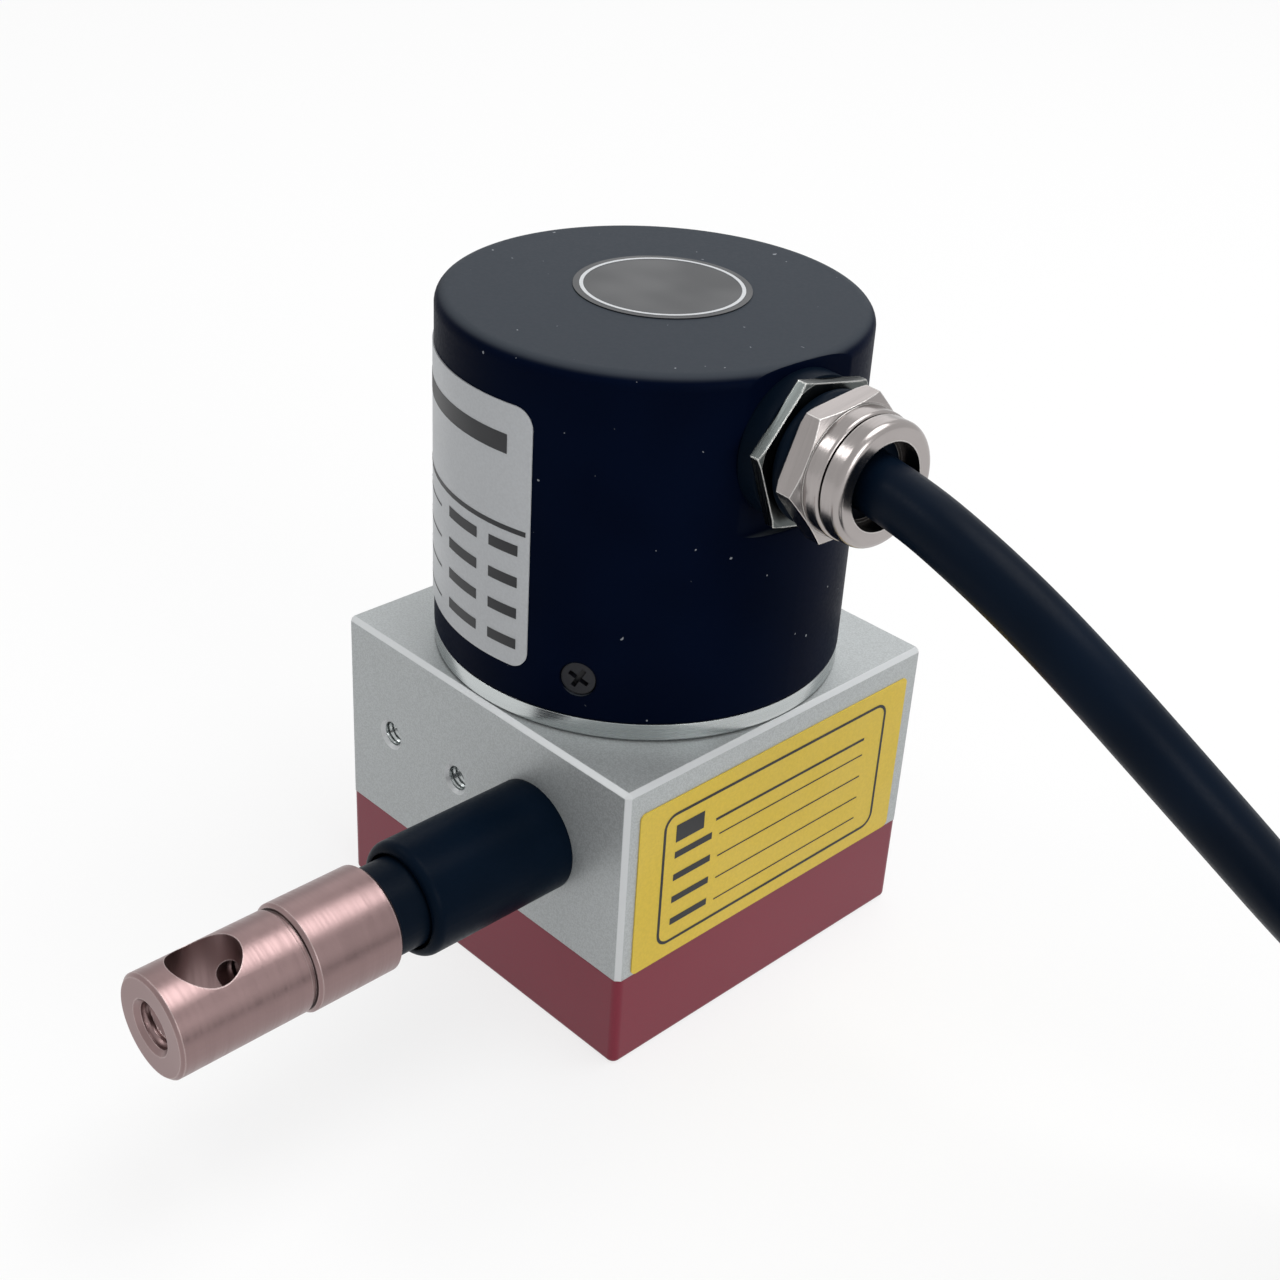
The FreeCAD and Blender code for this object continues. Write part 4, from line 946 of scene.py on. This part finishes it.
@dataclass
class Housing:
    """The red base and the silver block with the drum inside."""

    dresser: Dresser
    half_width: float = 20.0
    hole_places: tuple[float, float] = (-13.4, -3.4)
    hole_height: float = 20.0
    hole_radius: float = 1.25
    hole_depth: float = 5.4
    thread_gap: float = 0.01
    thread_ridge: float = 0.2
    thread_pitch: float = 0.5
    thread_start: float = 0.35
    print_height: float = 0.14
    print_frame: tuple[float, float, float, float] = (-15.4, 15.3, 11.6, 26.4)
    print_corner: float = 1.5
    print_line: float = 0.32
    print_rows: int = 4
    print_inset: float = 1.6
    block_depth: float = 1.9
    block_length: float = 3.6
    row_length: float = 4.8
    row_height: float = 0.75
    row_gap: float = 1.0
    rule_inset: float = 3.0
    rule_height: float = 0.16
    head_rule_height: float = 0.3

    def build(self) -> None:
        """Dresses the housing's nodes."""
        dress = self.dresser.dress
        dress(Finishes.BASE_RED, "spring_housing")
        dress(Finishes.BLOCK_SILVER, "drum_housing")
        dress(Finishes.SCREW_STEEL, "housing_screws", "flange_screws")
        dress(Finishes.DRUM, "spring_plate", "spring_arbor", "wire_drum")
        dress(Finishes.SPRING, "power_spring", "shaft_clip")
        dress(Finishes.BEARING, "shaft", "bearing_outer_rings", "bearing_inner_rings",
              "bearing_balls")
        dress(Finishes.CAGE, "bearing_cages", "bearing_shields")
        dress(Finishes.SCREW_BLACK, "drum_set_screw")
        dress(Finishes.WIRE, "wound_wire")
        dress(Finishes.YELLOW, "side_label")
        self.add_threads()
        self.add_print()

    def add_threads(self) -> None:
        """The thread in each of the two mounting holes."""
        piece = Piece("hole_threads", Body.HOUSING, Finishes.FLANGE, "block_silver",
                      self.dresser, crease=20)
        for x in self.hole_places:
            axis = Axis((x, -self.half_width, self.hole_height), (0.0, -1.0, 0.0))
            hole = TappedHole(axis, self.hole_radius - self.thread_gap, self.thread_ridge,
                              self.thread_pitch, self.thread_start, self.hole_depth)
            piece.add_grid(hole.surface(), closed=True)
        piece.ride()

    def add_print(self) -> None:
        """A rounded frame and plain ruled rows on the yellow label."""
        ground = PrintArea(lambda y, z: np.stack(
            [np.full_like(y, self.half_width + self.print_height), y, z], axis=-1))
        piece = Piece("side_print", Body.HOUSING, Finishes.INK, "label_dark", self.dresser)
        piece.add_grid(ground.frame(self.print_frame, self.print_corner, self.print_line),
                       closed=True)
        low, high, bottom, top = self.print_frame
        start = low + self.print_inset
        end = high - self.rule_inset
        head = top - 3.4
        piece.add_grid(ground.bar(start, start + self.block_length, head,
                                  head + self.block_depth))
        piece.add_grid(ground.bar(start + self.block_length + 1.6, end, head,
                                  head + self.head_rule_height))
        for row in np.linspace(top - 5.2, bottom + 2.0, self.print_rows):
            piece.add_grid(ground.bar(start, start + self.row_length, row,
                                      row + self.row_height))
            piece.add_grid(ground.bar(start + self.row_length + self.row_gap, end, row,
                                      row + self.rule_height))
        piece.ride()


@dataclass
class Encoder:
    """The encoder on top: flange, cover, labels and the parts inside."""

    dresser: Dresser
    label_radius: float = 19.84
    label_edge: float = -74.3
    label_arc: float = 96.0
    label_low: float = 36.0
    rule_height: float = 49.2
    table_rows: int = 4
    table_start: float = 1.8
    table_step: float = 3.1
    table_bar: float = 1.05
    table_columns: tuple[tuple[float, float], ...] = ((1.2, 4.6), (6.2, 11.0))
    sticker_middle: tuple[float, float] = (-0.7, 1.5)
    sticker_top: float = 65.74
    sticker_ring: float = 7.5
    sticker_line: float = 0.35
    sticker_sides: int = 128

    def build(self) -> None:
        """Dresses the encoder's nodes."""
        dress = self.dresser.dress
        dress(Finishes.GASKET, "flange_gasket")
        dress(Finishes.FLANGE, "encoder_flange")
        dress(Finishes.COVER, "encoder_cover")
        dress(Finishes.SCREW_BLACK, "cover_screws", "hub_set_screw")
        dress(Finishes.WHITE, "cover_label")
        dress(Finishes.DARK, "top_label")
        dress(Finishes.DRUM, "disc_hub")
        dress(Finishes.DISC, "code_disc")
        dress(Finishes.LAMP, "light_source")
        dress(Finishes.CHIP, "photo_sensor", "board_chips")
        dress(Finishes.BOARD, "encoder_board")
        dress(Finishes.BRASS, "board_spacers")
        dress(Finishes.SCREW_STEEL, "board_screws")
        dress(Finishes.SOCKET, "cable_connector")
        dress(Finishes.LEADS, "signal_leads")
        self.add_cover_print()
        self.add_sticker_ring()

    def add_cover_print(self) -> None:
        """A rule and plain rows on the white label, placed by arc length from its edge."""
        def place(along: np.ndarray, height: np.ndarray) -> np.ndarray:
            angle = np.radians(self.label_edge) - along / self.label_radius
            return np.stack([self.label_radius * np.cos(angle),
                             self.label_radius * np.sin(angle), height], axis=-1)
        ground = PrintArea(place)
        piece = Piece("cover_print", Body.HOUSING, Finishes.INK, "label_dark", self.dresser)
        reach = math.radians(self.label_arc) * self.label_radius
        piece.add_grid(ground.bar(0.4, reach - 0.4, self.rule_height, self.rule_height + 0.5))
        piece.add_grid(ground.bar(2.6, reach - 4.0, self.label_low + 20.4, self.label_low + 22.2))
        for row in range(self.table_rows):
            low = self.label_low + self.table_start + self.table_step * row
            for start, end in self.table_columns:
                piece.add_grid(ground.bar(start, end, low, low + self.table_bar))
            piece.add_grid(ground.bar(13.0, reach - 4.0, low, low + 0.2))
        piece.ride()

    def add_sticker_ring(self) -> None:
        """The pale line round the sticker on the cover's top."""
        turn = np.linspace(0, 2 * np.pi, self.sticker_sides, endpoint=False)
        radii = np.array([self.sticker_ring - self.sticker_line, self.sticker_ring])[:, None]
        ring = np.stack([self.sticker_middle[0] + radii * np.cos(turn),
                         self.sticker_middle[1] + radii * np.sin(turn),
                         np.full((2, self.sticker_sides), self.sticker_top)], axis=-1)
        piece = Piece("sticker_ring", Body.HOUSING, Finishes.PALE_INK, "label_white",
                      self.dresser)
        piece.add_grid(ring, closed=True)
        piece.ride()


@dataclass
class Gland:
    """The cable gland with its nut, washer and seal."""

    dresser: Dresser

    def build(self) -> None:
        """Dresses the gland's nodes."""
        dress = self.dresser.dress
        dress(Finishes.RUBBER, "gland_washer", "gland_seal", "gland_insert")
        dress(Finishes.LOCKNUT, "gland_locknut")
        dress(Finishes.GLAND, "gland_body")
        dress(Finishes.CABLE, "cable_stub")


@dataclass
class Outlet:
    """The wire outlet, the measuring wire and the end piece that is pulled."""

    dresser: Dresser
    wire_x: float = 50.0 / (2 * math.pi)
    wire_z: float = 20.0
    face_y: float = -20.0
    wire_radius: float = 0.3
    wire_rings: int = 60
    wire_sides: int = 24
    wire_start: float = -15.7
    wire_finish: float = 25.2
    stretch_start: float = 2.0
    stretch_end: float = 18.0
    end_front: float = 40.0
    end_hole_radius: float = 2.1
    thread_gap: float = 0.01
    thread_ridge: float = 0.24
    thread_pitch: float = 0.8
    thread_spans: tuple[tuple[float, float], ...] = ((0.45, 2.1), (8.3, 10.1))

    def axis(self) -> Axis:
        """The outlet's axis, with distance from the block's face along it."""
        return Axis((self.wire_x, self.face_y, self.wire_z), (0.0, -1.0, 0.0))

    def build(self) -> None:
        """Dresses the outlet's nodes and makes the wire."""
        dress = self.dresser.dress
        dress(Finishes.TUBE, "outlet_tube")
        dress(Finishes.RUBBER, "outlet_buffer")
        dress(Finishes.GUIDE, "wire_guide")
        dress(Finishes.ROSE, "wire_end")
        dress(Finishes.FERRULE, "wire_ferrule")
        self.add_end_thread()
        self.add_wire()

    def add_end_thread(self) -> None:
        """The thread in the end piece's front, on both sides of its eye."""
        piece = Piece("end_thread", Body.PULL_END, Finishes.ROSE, "end_rose", self.dresser,
                      crease=20)
        front = Axis((self.wire_x, self.face_y - self.end_front, self.wire_z), (0.0, -1.0, 0.0))
        for start, end in self.thread_spans:
            hole = TappedHole(front, self.end_hole_radius - self.thread_gap, self.thread_ridge,
                              self.thread_pitch, start, end, around=96, per_turn=24)
            piece.add_grid(hole.surface(), closed=True)
        piece.ride()

    def add_wire(self) -> None:
        """The wire as a tube of rings between outlet and end piece."""
        piece = Piece("drawn_wire", Body.HOUSING, Finishes.WIRE, "wire_steel", self.dresser)
        around = np.linspace(0, 2 * np.pi, self.wire_sides, endpoint=False)
        along = np.linspace(self.wire_start, self.wire_finish, self.wire_rings)
        radii = np.full(along.shape, self.wire_radius)
        radii[[0, -1]] = 0.0
        along[1], along[-2] = along[0], along[-1]
        grid = np.stack([radii[:, None] * np.cos(around), radii[:, None] * np.sin(around),
                         np.broadcast_to(along[:, None], (self.wire_rings, self.wire_sides))],
                        axis=-1)
        piece.add_grid(self.axis().apply(grid), closed=True)
        wire = piece.finish_mesh(["measuring_wire"])
        ends = [tuple(part * MM for part in self.axis().apply(np.array([0, 0, place])))
                for place in (self.stretch_start, self.stretch_end)]
        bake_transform(wire)


def main() -> None:
    """Builds the camera, the cable, the studio and each sub-assembly in order."""
    logging.basicConfig(level=logging.INFO, format="%(message)s")
    dresser = Dresser()
    PhotoCamera().build()
    Cable(dresser).build()
    Studio().build()
    for assembly in (Housing, Encoder, Gland, Outlet):
        assembly(dresser).build()


if __name__ == "__main__":
    main()
